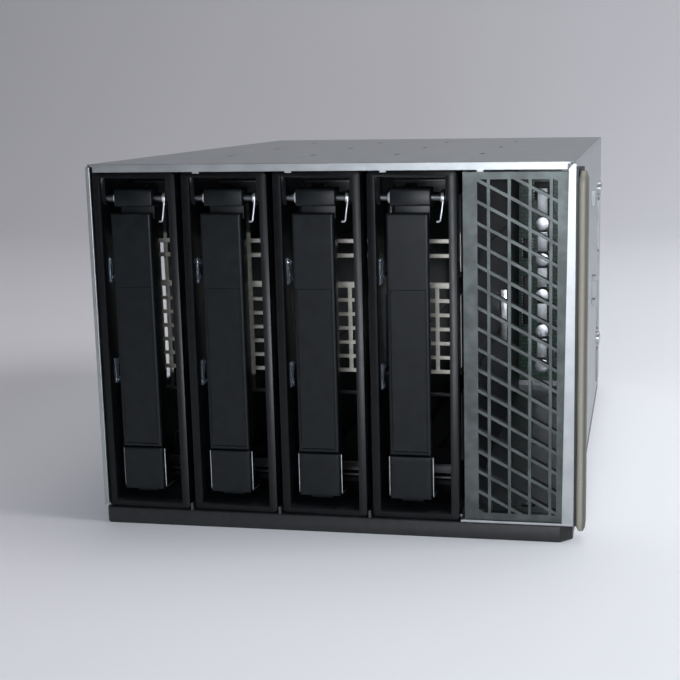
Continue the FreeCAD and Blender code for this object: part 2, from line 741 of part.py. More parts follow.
def bezel(bay):
    """Carrier front: a rimmed frame with a windowed sleeve behind it and bosses for the pin."""
    body = new_body("bezel_%d" % (bay + 1), bay_middle(bay) - D.bezel_width / 2, BEZEL_Y,
                    BEZEL_Z)
    frame = new_sketch(body, "XZ")
    clipped_rectangle(frame, 0, 0, D.bezel_width, D.bezel_height, 0.7)
    pad(body, frame, D.bezel_rim, reverse=True)
    sleeve = new_sketch(body, "XZ", -D.bezel_rim)
    rectangle(sleeve, SLEEVE_INSET, 1.5, D.bezel_width - SLEEVE_INSET, INNER_HIGH + 1)
    pad(body, sleeve, D.sleeve_end - D.bezel_recess - D.bezel_rim, reverse=True)
    inside = new_sketch(body, "XZ")
    rectangle(inside, D.bezel_rail, INNER_LOW, D.bezel_width - D.bezel_rail, INNER_HIGH)
    pocket(body, inside)
    sill = new_sketch(body, "YZ", D.bezel_rail)
    outline(sill, [(-1, 1.2), (3.6, INNER_LOW), (3.6, INNER_LOW + 0.5), (-1, INNER_LOW + 0.5)])
    pocket(body, sill, D.bezel_width - 2 * D.bezel_rail, reverse=True)
    pin_y, pin_z = D.pin_depth - D.bezel_recess, D.pin_height - BEZEL_Z
    for lift in (D.bezel_rail - 0.2, D.bezel_width - D.bezel_rail - BOSS_REACH):
        boss = new_sketch(body, "YZ", lift)
        outline(boss, [(pin_y - BOSS_HALF, pin_z - 1), (pin_y - 1, pin_z - BOSS_HALF),
                       (pin_y + BOSS_HALF, pin_z - BOSS_HALF),
                       (pin_y + BOSS_HALF, INNER_HIGH + 0.5),
                       (pin_y - BOSS_HALF, INNER_HIGH + 0.5)])
        pad(body, boss, BOSS_REACH + 0.2)
    bore = new_sketch(body, "YZ", BORE_INSET)
    circle(bore, pin_y, pin_z, D.pin_radius + 0.02)
    pocket(body, bore, D.bezel_width - 2 * BORE_INSET, reverse=True)
    vent = new_sketch(body, "YZ")
    rectangle(vent, 13, 12, 27, 38)
    opening = pocket(body, vent)
    repeat(body, opening, (vent, "V_Axis", 32, 3))
    return body


def carrier_rail(bay, upper):
    """Grooved runner that holds one edge of the drive, with a foot inside the sleeve."""
    side = "upper" if upper else "lower"
    inner_z = RAIL_GAP_Z + D.drive_width if upper else RAIL_GAP_Z
    out = 1 if upper else -1
    thick = D.rail_thick * out
    body = new_body("%s_rail_%d" % (side, bay + 1), bay_middle(bay) - D.rail_width / 2, FRONT,
                    inner_z)
    section = new_sketch(body, "XZ", -D.sleeve_end)
    groove = thick - 0.9 * out
    flank = 2.8
    outline(section, [(0, 0), (D.rail_width, 0), (D.rail_width, thick),
                      (D.rail_width - flank, thick), (D.rail_width - flank, groove),
                      (flank, groove), (flank, thick), (0, thick)])
    pad(body, section, D.rail_end - D.sleeve_end, reverse=True)
    foot = new_sketch(body, "XZ", -D.sleeve_end + 7)
    foot_low, foot_high = (0.85, 2.6) if upper else (-0.8, 0.5)
    rectangle(foot, 2, foot_low, D.rail_width - 2, foot_high)
    pad(body, foot, 8, reverse=True)
    holes = new_sketch(body, "XY")
    screw_x = D.rail_width / 2 - 6.7
    for drive_hole in (28.5, 130.1):
        circle(holes, screw_x, D.rail_end - drive_hole, 1.9)
    pocket(body, holes)
    slot = new_sketch(body, "XY")
    rectangle(slot, 8, 70, 18, 126)
    pocket(body, slot)
    return body


GRID_COLUMNS = ((-6.72, -3.13), (-1.78, 1.82), (3.18, 6.77))
GRID_FIRST, GRID_STEP, GRID_ROWS, GRID_HOLE = 47.3, 4.82, 6, 3.6


def vent_plate(bay):
    """Punched steel plate across the sleeve: a grid of square holes between larger windows."""
    width, low = 22.6, RAIL_GAP_Z + 0.7
    height = D.drive_width - 0.6
    body = new_body("vent_plate_%d" % (bay + 1), bay_middle(bay),
                    FRONT + D.sleeve_end - D.gauge, 0)
    sheet = new_sketch(body, "XZ")
    rectangle(sheet, -width / 2, low, width / 2, low + height)
    pad(body, sheet, D.gauge, reverse=True)
    flanges = new_sketch(body, "XZ")
    rectangle(flanges, -width / 2, low, width / 2, low + D.gauge)
    rectangle(flanges, -width / 2, low + height - D.gauge, width / 2, low + height)
    pad(body, flanges, 4)
    windows = new_sketch(body, "XZ")
    side = width / 2 - 1.2
    split = GRID_COLUMNS[0][1], GRID_COLUMNS[1][0]
    rectangle(windows, -side, 14.5, side, 38.2)
    for z0, z1 in ((39.5, 46), (77, 85.2), (86.6, 90.1), (91.5, 107)):
        rectangle(windows, -side, z0, split[0], z1)
        rectangle(windows, split[1], z0, side, z1)
    for x0, x1 in ((-side, -8.08), (8.12, side)):
        rectangle(windows, x0, GRID_FIRST, x1, 75)
    pocket(body, windows)
    holes = new_sketch(body, "XZ")
    for x0, x1 in GRID_COLUMNS:
        rectangle(holes, x0, GRID_FIRST, x1, GRID_FIRST + GRID_HOLE)
    opening = pocket(body, holes)
    repeat(body, opening, (holes, "V_Axis", GRID_STEP, GRID_ROWS))
    return body


def hinge_pin(bay):
    half = D.bezel_width / 2 - BORE_INSET
    return cylinder("hinge_pin_%d" % (bay + 1), "X",
                    (bay_middle(bay) - half, FRONT + D.pin_depth, D.pin_height),
                    D.pin_radius, half * 2)


def torsion_spring(bay):
    """Coil on the pin beside the pivot block, with one leg down to a hook and one back."""
    name = "torsion_spring_%d" % (bay + 1)
    x, y, z = bay_middle(bay) + 7.7, FRONT + D.pin_depth, D.pin_height
    wire, coil, drop, hook = 0.7, 2.2, 7.5, 1.8
    ring = cut(name + "_ring", prism(name + "_coil", "X", (x, y, z), 8, 2.2, coil),
               prism(name + "_inside", "X", (x - 1, y, z), 8, D.pin_radius + 0.2, 5))
    edge = x + coil - wire
    down = box(name + "_down", (edge, y - 2.05, z - drop), (wire, wire, drop))
    tip = box(name + "_tip", (edge - hook, y - 2.05, z - drop), (hook + wire / 2, wire, wire))
    back = box(name + "_back", (x, y, z + 1.4), (wire, 7, wire))
    return fuse(name, ring, down, tip, back)


CHEEK, CHEEK_START, LATCH_CLEAR = 0.9, 4.1, 0.15


def handle(bay):
    """Lever hung from a pivot block: a front plate, two flanges and cheeks beside the latch."""
    number = bay + 1
    width, inset, wall = D.handle_width, D.handle_inset, D.handle_wall
    split = D.handle_split + 0.4
    body = new_body("handle_%d" % number, bay_middle(bay) - D.handle_shift - width / 2,
                    BEZEL_Y, 0)
    face = new_sketch(body, "XZ")
    clipped_rectangle(face, 0, split, width, D.handle_top, 0.5)
    pad(body, face, D.handle_plate, reverse=True)
    flanges = new_sketch(body, "XZ", -D.handle_plate)
    rectangle(flanges, inset, split + 0.6, width - inset, D.handle_top - 0.6)
    pad(body, flanges, D.handle_depth - D.handle_plate, reverse=True)
    channel = new_sketch(body, "XZ", -D.handle_plate)
    rectangle(channel, inset + wall, split + 1.6, width - inset - wall, D.handle_top - 2.6)
    pocket(body, channel, D.handle_depth)
    cheeks = new_sketch(body, "XZ", -CHEEK_START)
    for x in (inset, width - inset - CHEEK):
        rectangle(cheeks, x, D.latch_foot, x + CHEEK, split + 1)
    pad(body, cheeks, D.handle_depth - CHEEK_START, reverse=True)
    bridge = new_sketch(body, "XZ", -8.8)
    rectangle(bridge, inset + 0.3, D.latch_foot + 4, width - inset - 0.3, split + 1)
    pad(body, bridge, D.handle_depth - 8.8, reverse=True)
    recess = new_sketch(body, "XZ")
    rectangle(recess, 0.9, split + 1, width - 0.9, 79.2)
    pocket(body, recess, 0.35)
    pin_y, pin_z = D.pin_depth - D.bezel_recess, D.pin_height
    block_x = width / 2 + D.handle_shift - 0.55 - D.pivot_length / 2
    neck = new_sketch(body, "YZ", block_x + 0.7)
    rectangle(neck, D.handle_plate, D.handle_top - 2, pin_y + 2.4, pin_z)
    pad(body, neck, D.pivot_length - 1.4)
    block = new_sketch(body, "YZ", block_x)
    outline(block, [(0.3, pin_z - 2), (0.8, pin_z - 2.5), (pin_y + 2.6, pin_z - 2.5),
                    (pin_y + 3, pin_z + 1), (pin_y + 1.6, pin_z + 2.9), (1.7, pin_z + 2.9),
                    (0.7, pin_z + 2.4), (0.3, pin_z + 1.4)])
    pad(body, block, D.pivot_length)
    claw = new_sketch(body, "YZ", block_x + 3)
    outline(claw, [(pin_y + 2, pin_z - 1), (pin_y + 7, pin_z + 0.6),
                   (pin_y + 7.6, pin_z + 4), (pin_y + 5.4, pin_z + 3.2),
                   (pin_y + 1.6, pin_z + 2.6)])
    pad(body, claw, 4)
    bore = new_sketch(body, "YZ")
    circle(bore, pin_y, pin_z, D.pin_radius + D.pin_play)
    pocket(body, bore)
    return body


def latch(bay):
    """Push button in the foot of the handle, with a nose for the sill and a leaf behind."""
    width = D.handle_width
    side = D.handle_inset + CHEEK + LATCH_CLEAR
    body = new_body("latch_%d" % (bay + 1),
                    bay_middle(bay) - D.handle_shift - width / 2, BEZEL_Y, 0)
    face = new_sketch(body, "XZ")
    clipped_rectangle(face, 0, D.latch_foot, width, D.handle_split, 0.5)
    pad(body, face, 2, reverse=True)
    block = new_sketch(body, "XZ", -2)
    rectangle(block, side, D.latch_foot + 0.5, width - side, D.handle_split)
    pad(body, block, 3, reverse=True)
    nose = new_sketch(body, "YZ", side + 0.8)
    outline(nose, [(3, D.latch_foot + 1), (3, D.latch_foot - 1.2), (3.6, D.latch_foot - 1.8),
                   (5, D.latch_foot - 1.8), (5, D.latch_foot + 1)])
    pad(body, nose, width - 2 * side - 1.6)
    leaf = new_sketch(body, "YZ", side + 1.5)
    outline(leaf, [(4.9, D.handle_split - 3), (6.5, D.handle_split - 8),
                   (6.5, D.latch_foot + 5), (6, D.latch_foot + 5), (6, D.handle_split - 8),
                   (4.9, D.handle_split - 4.5)])
    pad(body, leaf, width - 2 * side - 3)
    grips = new_sketch(body, "XZ")
    rectangle(grips, 1.2, D.latch_foot + 2, width - 1.2, D.latch_foot + 2.6)
    opening = pocket(body, grips, 0.4)
    repeat(body, opening, (grips, "V_Axis", 1.5, 3))
    return body


# ---------------------------------------------------------------- the whole part

def build():
    """Every piece, in the order in which the cage goes together."""
    nodes = [base_pan(), floor_plate(), left_wall(), right_wall(), top_cover()]
    nodes += [divider(number) for number in range(1, BAYS + 1)]
    nodes += [air_grille(), gasket_carrier(), gasket_strip()]
    for upper in (False, True):
        side = "upper_guides" if upper else "lower_guides"
        nodes.append(group(side, [guide_channel(bay, upper) for bay in range(BAYS)]))
    nodes += [backplane_bracket(), backplane_board(), standoffs(), board_screws()]
    nodes.append(group("drive_connectors", [drive_connector(bay) for bay in range(BAYS)]))
    nodes.append(group("signal_connectors", [
        signal_connector(i, x, z) for i, (x, z) in enumerate(SIGNAL_PLACES, 1)]))
    nodes += [power_connector(), board_capacitors(), board_chips()]
    nodes.append(bracket_screws())
    for bay in range(BAYS):
        nodes += [bezel(bay), carrier_rail(bay, False), carrier_rail(bay, True),
                  vent_plate(bay), hinge_pin(bay), torsion_spring(bay), handle(bay), latch(bay)]
    return nodes


def check(nodes):
    """Stops if any object failed, or any piece is empty or broken."""
    failed = [obj.Label for obj in doc.Objects
              if any(word in state for state in obj.State for word in ("Invalid", "Error"))]
    failed += [node.Label for node in nodes
               if node.Shape.isNull() or not node.Shape.isValid() or not node.Shape.Solids]
    if failed:
        raise SystemExit("not built: " + ", ".join(failed))


def main():
    nodes = build()
    doc.recompute()
    check(nodes)
    os.makedirs("parts", exist_ok=True)
    for old in os.listdir("parts"):
        os.remove(os.path.join("parts", old))
    for node in nodes:
        node.Shape.exportStep("parts/%s.step" % node.Label)
    whole = Part.makeCompound([node.Shape for node in nodes]).BoundBox
    print(len(nodes), "pieces", "x", round(whole.XMin, 2), round(whole.XMax, 2),
          "y", round(whole.YMin, 2), round(whole.YMax, 2),
          "z", round(whole.ZMin, 2), round(whole.ZMax, 2))


main()
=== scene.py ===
# %% [markdown]
# A drive cage takes 3.5-inch drives on edge: four carriers slide into a box of zinc-coated sheet
# steel, and an air duct with a grille stands beside them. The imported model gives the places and
# the plain shapes. It is loaded first and stays as it is: each piece made here lies over its
# node and moves with the node's body.

# %% Load the frame and keep its box
import json
import math

import bmesh
import bpy
import numpy as np
from mathutils import Matrix, Vector

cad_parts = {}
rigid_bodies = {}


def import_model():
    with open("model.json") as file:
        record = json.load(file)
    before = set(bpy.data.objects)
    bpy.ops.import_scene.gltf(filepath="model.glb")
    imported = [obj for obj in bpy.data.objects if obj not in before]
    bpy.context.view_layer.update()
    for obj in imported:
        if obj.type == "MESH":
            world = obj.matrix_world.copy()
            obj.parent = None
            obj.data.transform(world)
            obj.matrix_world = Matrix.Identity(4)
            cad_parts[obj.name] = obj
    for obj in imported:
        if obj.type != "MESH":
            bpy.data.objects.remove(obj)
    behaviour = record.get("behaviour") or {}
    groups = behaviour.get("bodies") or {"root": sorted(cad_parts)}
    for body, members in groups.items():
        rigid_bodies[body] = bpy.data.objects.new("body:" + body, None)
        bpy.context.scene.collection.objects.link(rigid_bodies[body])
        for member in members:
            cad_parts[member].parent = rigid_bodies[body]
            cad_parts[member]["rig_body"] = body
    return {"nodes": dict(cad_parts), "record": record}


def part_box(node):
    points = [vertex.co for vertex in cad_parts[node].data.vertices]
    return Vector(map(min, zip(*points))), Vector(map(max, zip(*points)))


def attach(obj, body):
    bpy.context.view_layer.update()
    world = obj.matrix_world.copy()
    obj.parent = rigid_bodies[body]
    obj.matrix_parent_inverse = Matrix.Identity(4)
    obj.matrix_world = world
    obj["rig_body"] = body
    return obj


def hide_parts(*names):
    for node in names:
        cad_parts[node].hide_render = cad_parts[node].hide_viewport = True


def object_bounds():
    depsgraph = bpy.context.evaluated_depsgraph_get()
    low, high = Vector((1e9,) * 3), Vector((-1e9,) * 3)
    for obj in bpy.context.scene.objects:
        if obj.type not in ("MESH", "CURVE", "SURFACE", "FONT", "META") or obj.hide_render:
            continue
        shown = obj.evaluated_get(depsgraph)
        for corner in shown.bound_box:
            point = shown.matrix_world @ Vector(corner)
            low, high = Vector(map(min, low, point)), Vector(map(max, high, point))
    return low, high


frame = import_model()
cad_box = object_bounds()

MM = 0.001
BAYS = range(1, 5)
low, high = (Vector(corner) for corner in cad_box)
print("frame box in mm:", [round(v / MM, 1) for v in (high - low)])

# %% [markdown]
# The camera stands a little to the right of the cage and above it, 0.4 m off, with a long lens,
# as for a catalogue view. It looks back to the left and down, and leans by a degree. The frame
# is shifted sideways on the lens, which keeps the uprights parallel. The camera's place is
# counted from the middle of the cage's front edge.

# %% Camera
CAMERA_OFFSET = Vector((95.1, -387.8, 137.3)) * MM
LOOK_LEFT, LOOK_DOWN, LEAN = 10.68, 10.57, 0.96
FOCAL_LENGTH, FRAME_SHIFT = 68.4, -0.0895

lens = bpy.data.cameras.new("product_camera")
lens.lens = FOCAL_LENGTH
lens.sensor_width = 36
lens.shift_x = FRAME_SHIFT
camera = bpy.data.objects.new("product_camera", lens)
front_middle = Vector(((low.x + high.x) / 2, low.y, low.z))
camera.matrix_world = (Matrix.Translation(front_middle + CAMERA_OFFSET)
                       @ Matrix.Rotation(math.radians(LOOK_LEFT), 4, "Z")
                       @ Matrix.Rotation(math.radians(-LOOK_DOWN), 4, "X")
                       @ Matrix.Rotation(math.radians(LEAN), 4, "Y")
                       @ Matrix.Rotation(math.radians(90), 4, "X"))
bpy.context.scene.collection.objects.link(camera)
bpy.context.scene.camera = camera
bpy.context.scene.view_settings.view_transform = "Standard"
print("camera at", [round(v / MM) for v in camera.location])

# %% [markdown]
# Colours are written as sRGB hex values, as a paint shop or a web page gives them, while Blender
# counts in linear light. One function turns the one into the other, one feeds a node's sockets
# by their names, and one adds a node to a material.

# %% Colour and node helpers
def tone(code):
    """A hex colour as linear red, green, blue and alpha: the sRGB curve undone."""
    srgb = np.array([int(code[i:i + 2], 16) for i in (1, 3, 5)]) / 255
    linear = np.where(srgb <= 0.04045, srgb / 12.92, ((srgb + 0.055) / 1.055) ** 2.4)
    return (*(float(v) for v in linear), 1.0)


def feed(tree, node, inputs):
    """Each input by its name: a plain value, or (node, output) to link from."""
    for name, value in inputs.items():
        if isinstance(value, tuple) and isinstance(value[0], bpy.types.Node):
            tree.links.new(value[0].outputs[value[1]], node.inputs[name])
        else:
            node.inputs[name].default_value = value


def add(tree, kind, settings=None, inputs=None):
    """A node of that kind, its settings given as attributes and its inputs fed."""
    node = tree.nodes.new("ShaderNode" + kind)
    for name, value in (settings or {}).items():
        setattr(node, name, value)
    feed(tree, node, inputs or {})
    return node


def finish_material(name, build):
    """A material whose tree has one shader, filled by build(tree, shader)."""
    material = bpy.data.materials.new(name)
    material.use_nodes = True
    tree = material.node_tree
    tree.nodes.clear()
    shader = add(tree, "BsdfPrincipled")
    add(tree, "OutputMaterial", inputs={"Surface": (shader, "BSDF")})
    build(tree, shader)
    return material


def mottle(tree, size_mm, dark, light, contrast=(0.35, 0.65)):
    """Two tones blended by noise whose grain is size_mm across, in Object coordinates."""
    place = add(tree, "TexCoord")
    noise = add(tree, "TexNoise", inputs={
        "Vector": (place, "Object"), "Scale": 1 / (size_mm * MM), "Detail": 2.0})
    ramp = add(tree, "ValToRGB", inputs={"Fac": (noise, "Fac")})
    for stop, at, code in zip(ramp.color_ramp.elements, contrast, (dark, light)):
        stop.position = at
        stop.color = tone(code)
    return ramp, noise


def grain(tree, size_mm, height_mm, strength=1.0, stretch=(1, 1, 1)):
    """A bump of noise, its grain size_mm across and height_mm deep."""
    place = add(tree, "TexCoord")
    scaled = add(tree, "Mapping", inputs={"Vector": (place, "Object"), "Scale": stretch})
    noise = add(tree, "TexNoise", inputs={
        "Vector": (scaled, "Vector"), "Scale": 1 / (size_mm * MM), "Detail": 3.0})
    return add(tree, "Bump", inputs={
        "Height": (noise, "Fac"), "Distance": height_mm * MM, "Strength": strength})


def roughness_between(tree, noise, low_value, high_value):
    """Roughness that follows a noise between two values."""
    return add(tree, "MapRange", inputs={
        "Value": (noise, "Fac"), "To Min": low_value, "To Max": high_value})


# %% [markdown]
# The cage is folded from hot-dip galvanised sheet: steel with a skin of zinc, pressed smooth at
# the mill. It is a metal, dull rather than bright, with faint clouds where the zinc crystals lie
# differently, and fine rolling lines along the sheet.

# %% Galvanised sheet
def galvanised(tree, shader):
    clouds, noise = mottle(tree, 7, "#9ca0a2", "#a9adae", contrast=(0.3, 0.7))
    lines = grain(tree, 0.9, 0.02, 0.35, stretch=(1, 0.08, 1))
    rough = roughness_between(tree, noise, 0.37, 0.42)
    feed(tree, shader, {
        "Base Color": (clouds, "Color"), "Roughness": (rough, "Result"),
        "Normal": (lines, "Normal"), "Metallic": 0.85})


def painted_grille(tree, shader):
    """Grey-green baked enamel over punched steel: a low gloss with a fine orange peel."""
    clouds, _ = mottle(tree, 5, "#3f4544", "#535a59")
    peel = grain(tree, 0.6, 0.03, 0.5)
    feed(tree, shader, {
        "Base Color": (clouds, "Color"), "Normal": (peel, "Normal"), "Roughness": 0.38,
        "Metallic": 0.5})


def powder_coat(tree, shader):
    """Black powder coat on steel: melted grains leave a satin skin with a soft peel."""
    clouds, _ = mottle(tree, 3, "#141517", "#1c1e20")
    peel = grain(tree, 0.8, 0.05, 0.5)
    feed(tree, shader, {
        "Base Color": (clouds, "Color"), "Normal": (peel, "Normal"), "Roughness": 0.45})


GALVANISED = finish_material("galvanised_sheet", galvanised)
GRILLE_PAINT = finish_material("grille_enamel", painted_grille)
POWDER_COAT = finish_material("black_powder_coat", powder_coat)
print("sheet finishes:", GALVANISED.name, GRILLE_PAINT.name, POWDER_COAT.name)

# %% [markdown]
# The carriers are moulded in black ABS with a spark-eroded texture in the mould, which leaves a
# fine matt grain. ABS has an IOR of about 1.5, and the grain takes away more than half of its
# reflection. The grain is drawn 0.5 mm wide: the real one is half as wide and would not show.

# %% Moulded plastics
PLASTIC_IOR, MATT_SPECULAR = 1.5, 0.22


def moulded(dark, light, rough, grain_mm=0.5):
    """A build function for one plastic: two near tones, a roughness and a grain."""
    def build(tree, shader):
        clouds, noise = mottle(tree, 4, dark, light)
        skin = grain(tree, grain_mm, 0.03, 0.5)
        spread = roughness_between(tree, noise, rough - 0.04, rough + 0.06)
        feed(tree, shader, {
            "Base Color": (clouds, "Color"), "Roughness": (spread, "Result"),
            "Normal": (skin, "Normal"), "IOR": PLASTIC_IOR,
            "Specular IOR Level": MATT_SPECULAR})
    return build


BLACK_ABS = finish_material("black_abs", moulded("#0b0c0e", "#101215", 0.3))
HANDLE_ABS = finish_material("handle_abs", moulded("#0f1315", "#151a1d", 0.33, 0.4))
GUIDE_PLASTIC = finish_material("guide_polycarbonate", moulded("#101113", "#17181a", 0.45))
CONNECTOR_PLASTIC = finish_material("connector_pbt", moulded("#101012", "#17171a", 0.35))
ACETAL = finish_material("white_acetal", moulded("#c6c9cb", "#d8dadc", 0.4))
print("plastics:", BLACK_ABS.name, HANDLE_ABS.name, GUIDE_PLASTIC.name, CONNECTOR_PLASTIC.name)

# %% [markdown]
# Springs and screws are zinc plated and bright, the hinge pins are darker steel, the capacitor
# cans are drawn aluminium, the spacers brass. They are plain metals that differ in tint and
# polish.
# The dividers are darker still. That darkness is painted shade, because they stand in shade
# between the carriers. The punched plates keep a bright zinc colour only in a middle band. Their
# two ends are painted near black, as painted shade where shadow falls on them.

# %% Metals
# Heights in mm of the band where the punched plates keep their zinc colour. Above and below this
# band, the colour is painted shade.
LIT_BAND_FOOT, LIT_BAND_HEAD, SHADE_FADE = 44, 94, 1
LIT_BAND_METALLIC = 0.4


def metal(dark, light, rough, cloud_mm=2.0):
    """A build function for one metal: two near tones and a roughness."""
    def build(tree, shader):
        clouds, noise = mottle(tree, cloud_mm, dark, light)
        spread = roughness_between(tree, noise, rough - 0.05, rough + 0.08)
        scratches = grain(tree, 0.4, 0.01, 0.3, stretch=(1, 1, 0.2))
        feed(tree, shader, {
            "Base Color": (clouds, "Color"), "Roughness": (spread, "Result"),
            "Normal": (scratches, "Normal"), "Metallic": 1.0})
    return build


def plate_with_painted_shade(tree, shader):
    """Zinc plated plate that turns near black above and below the heights where the punched
    lattice starts and stops. The black is painted shade, because the plate's two ends lie in
    shadow."""
    clouds, _ = mottle(tree, 2, "#cfcdc0", "#e2e0d4")
    height = add(tree, "SeparateXYZ", inputs={"Vector": (add(tree, "TexCoord"), "Object")})
    foot = add(tree, "MapRange", inputs={
        "Value": (height, "Z"), "From Min": LIT_BAND_FOOT * MM,
        "From Max": (LIT_BAND_FOOT + SHADE_FADE) * MM})
    head = add(tree, "MapRange", inputs={
        "Value": (height, "Z"), "From Min": LIT_BAND_HEAD * MM,
        "From Max": (LIT_BAND_HEAD - SHADE_FADE) * MM})
    lit_band = add(tree, "Math", {"operation": "MULTIPLY"}, {
        0: (foot, "Result"), 1: (head, "Result")})
    painted_shade_colour = add(tree, "Mix", {"data_type": "RGBA"}, {
        "Factor": (lit_band, "Value"), "A": tone("#0d0e0f"), "B": (clouds, "Color")})
    metal_share = add(tree, "Math", {"operation": "MULTIPLY"}, {
        0: (lit_band, "Value"), 1: LIT_BAND_METALLIC})
    feed(tree, shader, {
        "Base Color": (painted_shade_colour, "Result"), "Metallic": (metal_share, "Value"),
        "Roughness": 0.42})


BRIGHT_STEEL = finish_material("zinc_plated_steel", metal("#b9bdc0", "#d8dbdd", 0.3))
PIN_STEEL = finish_material("hardened_pin_steel", metal("#626467", "#76787b", 0.35))
CAN_ALUMINIUM = finish_material("drawn_aluminium", metal("#c9ccd0", "#e2e4e7", 0.3))
BRASS = finish_material("turned_brass", metal("#a98a4e", "#c9a968", 0.3))
GOLD = finish_material("contact_gold", metal("#b8923f", "#d9b765", 0.25, 1.0))
SHADED_PUNCHED_STEEL = finish_material("zinc_plate_painted_shade", plate_with_painted_shade)
# The dividers' dark colour is painted shade: they stand in shade between the carriers.
SHADED_DIVIDER_STEEL = finish_material("divider_steel_painted_shade", metal("#46484a", "#565859", 0.5, 5.0))
print("metals:", BRIGHT_STEEL.name, CAN_ALUMINIUM.name, BRASS.name, GOLD.name)

# %% [markdown]
# The board is glass-epoxy with green solder mask. Copper tracks under the mask lie higher and
# show lighter, so a brick pattern drawn across it stands for rows of tracks. The gasket is
# nickel-coated polyester cloth over foam: its threads are 0.3 mm apart and are drawn at 0.7 mm.

# %% Board, gasket cloth and acrylic
THREAD_MM, TRACK_MM = 0.7, 8
# Between these values of X, in mm, the cloth turns darker. This is painted shade on its rounded
# outer corner.
SHADE_EDGE_MM = (77.9, 78.6)


def solder_mask(tree, shader):
    """Rows of tracks, a brick pattern turned upright, each a step above the board."""
    place = add(tree, "TexCoord")
    upright = add(tree, "Mapping", inputs={
        "Vector": (place, "Object"), "Rotation": (math.radians(90), 0, 0)})
    tracks = add(tree, "TexBrick", {"offset": 0.37, "squash": 0.6}, {
        "Vector": (upright, "Vector"), "Color1": tone("#1d5c43"), "Color2": tone("#226a4d"),
        "Mortar": tone("#123f2e"), "Scale": 1 / (TRACK_MM * MM), "Mortar Size": 0.06,
        "Brick Width": 0.9, "Row Height": 0.22})
    step = add(tree, "Bump", inputs={
        "Height": (tracks, "Fac"), "Distance": 0.05 * MM, "Strength": 0.6})
    feed(tree, shader, {
        "Base Color": (tracks, "Color"), "Normal": (step, "Normal"), "Roughness": 0.3})


def woven_cloth(tree, shader):
    """Two sets of threads as waves along Y and Z, the higher of them on top. Towards the outer
    side, which faces the next module, the colour darkens. This is painted shade on the rounded
    corner."""
    place = add(tree, "TexCoord")
    heights = [add(tree, "TexWave", {"bands_direction": axis}, {
        "Vector": (place, "Object"), "Scale": 1 / (THREAD_MM * MM) / math.tau,
        "Distortion": 0.4, "Detail": 1.0}) for axis in ("Y", "Z")]
    weave = add(tree, "Math", {"operation": "MAXIMUM"}, {
        0: (heights[0], "Fac"), 1: (heights[1], "Fac")})
    ramp = add(tree, "ValToRGB", inputs={"Fac": (weave, "Value")})
    ramp.color_ramp.elements[0].color = tone("#a09e90")
    ramp.color_ramp.elements[1].color = tone("#a5a396")
    # Painted shade: towards the outer side, the cloth colour blends into a dark taupe.
    split = add(tree, "SeparateXYZ", inputs={"Vector": (place, "Object")})
    shade_side = add(tree, "MapRange", inputs={
        "Value": (split, "X"), "From Min": SHADE_EDGE_MM[0] * MM,
        "From Max": SHADE_EDGE_MM[1] * MM})
    painted_shade_cloth = add(tree, "Mix", {"data_type": "RGBA"}, {
        "Factor": (shade_side, "Result"), "A": (ramp, "Color"), "B": tone("#66655f")})
    bump = add(tree, "Bump", inputs={
        "Height": (weave, "Value"), "Distance": 0.1 * MM, "Strength": 0.1})
    feed(tree, shader, {
        "Base Color": (painted_shade_cloth, "Result"), "Normal": (bump, "Normal"), "Roughness": 0.6,
        "Metallic": 0.35})


def clear_acrylic(tree, shader):
    """Polished acrylic, IOR 1.49: it lets light through and shows bright rims."""
    feed(tree, shader, {
        "Base Color": tone("#aebccd"), "Roughness": 0.08, "IOR": 1.49,
        "Transmission Weight": 0.9})


SOLDER_MASK = finish_material("green_solder_mask", solder_mask)
CLEAR_ACRYLIC = finish_material("clear_acrylic", clear_acrylic)
GASKET_CLOTH = finish_material("conductive_cloth", woven_cloth)
print("board and gasket:", SOLDER_MASK.name, GASKET_CLOTH.name)

# %% [markdown]
# Every node of the imported model gets the finish that its slot in the record names. Only the
# four dividers differ. Their darker, duller steel is painted shade, because they stand in shade
# between the carriers.

# %% Finishes for the imported nodes
FINISH = {
    "galvanised_steel": GALVANISED, "grille_steel": GRILLE_PAINT, "black_steel": POWDER_COAT,
    "black_abs": BLACK_ABS, "guide_plastic": GUIDE_PLASTIC, "gasket_cloth": GASKET_CLOTH,
    "green_board": SOLDER_MASK, "connector_plastic": CONNECTOR_PLASTIC,
    "bright_steel": BRIGHT_STEEL, "capacitor_can": CAN_ALUMINIUM, "brass": BRASS,
}
slot_of = {part["node"]: part["material_slot"] for part in frame["record"]["subparts"]}
for name, obj in frame["nodes"].items():
    obj.data.materials.clear()
    obj.data.materials.append(FINISH[slot_of[name]])
# Painted shade: the dividers get the darker steel because they stand in shade.
for bay in BAYS:
    frame["nodes"]["divider_%d" % bay].data.materials[0] = SHADED_DIVIDER_STEEL
print("nodes with a finish:", len(frame["nodes"]))

# %% [markdown]
# A moulded or folded edge is never sharp: it has a radius of a few tenths of a millimetre, and
# that radius is what catches the light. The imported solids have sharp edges, so the larger sheet
# parts, the pan, the grille and the carrier frames are copied, the doubled points are merged,
# and a Bevel modifier rounds the edges of the copy. The copy then stands for the node. The
# right wall stays as packed: rounding leaves bright and dark triangles between its ribs.

# %% Rounded copies of the sheet metal and the carrier frames
def body_of_node(name):
    return frame["nodes"][name]["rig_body"]


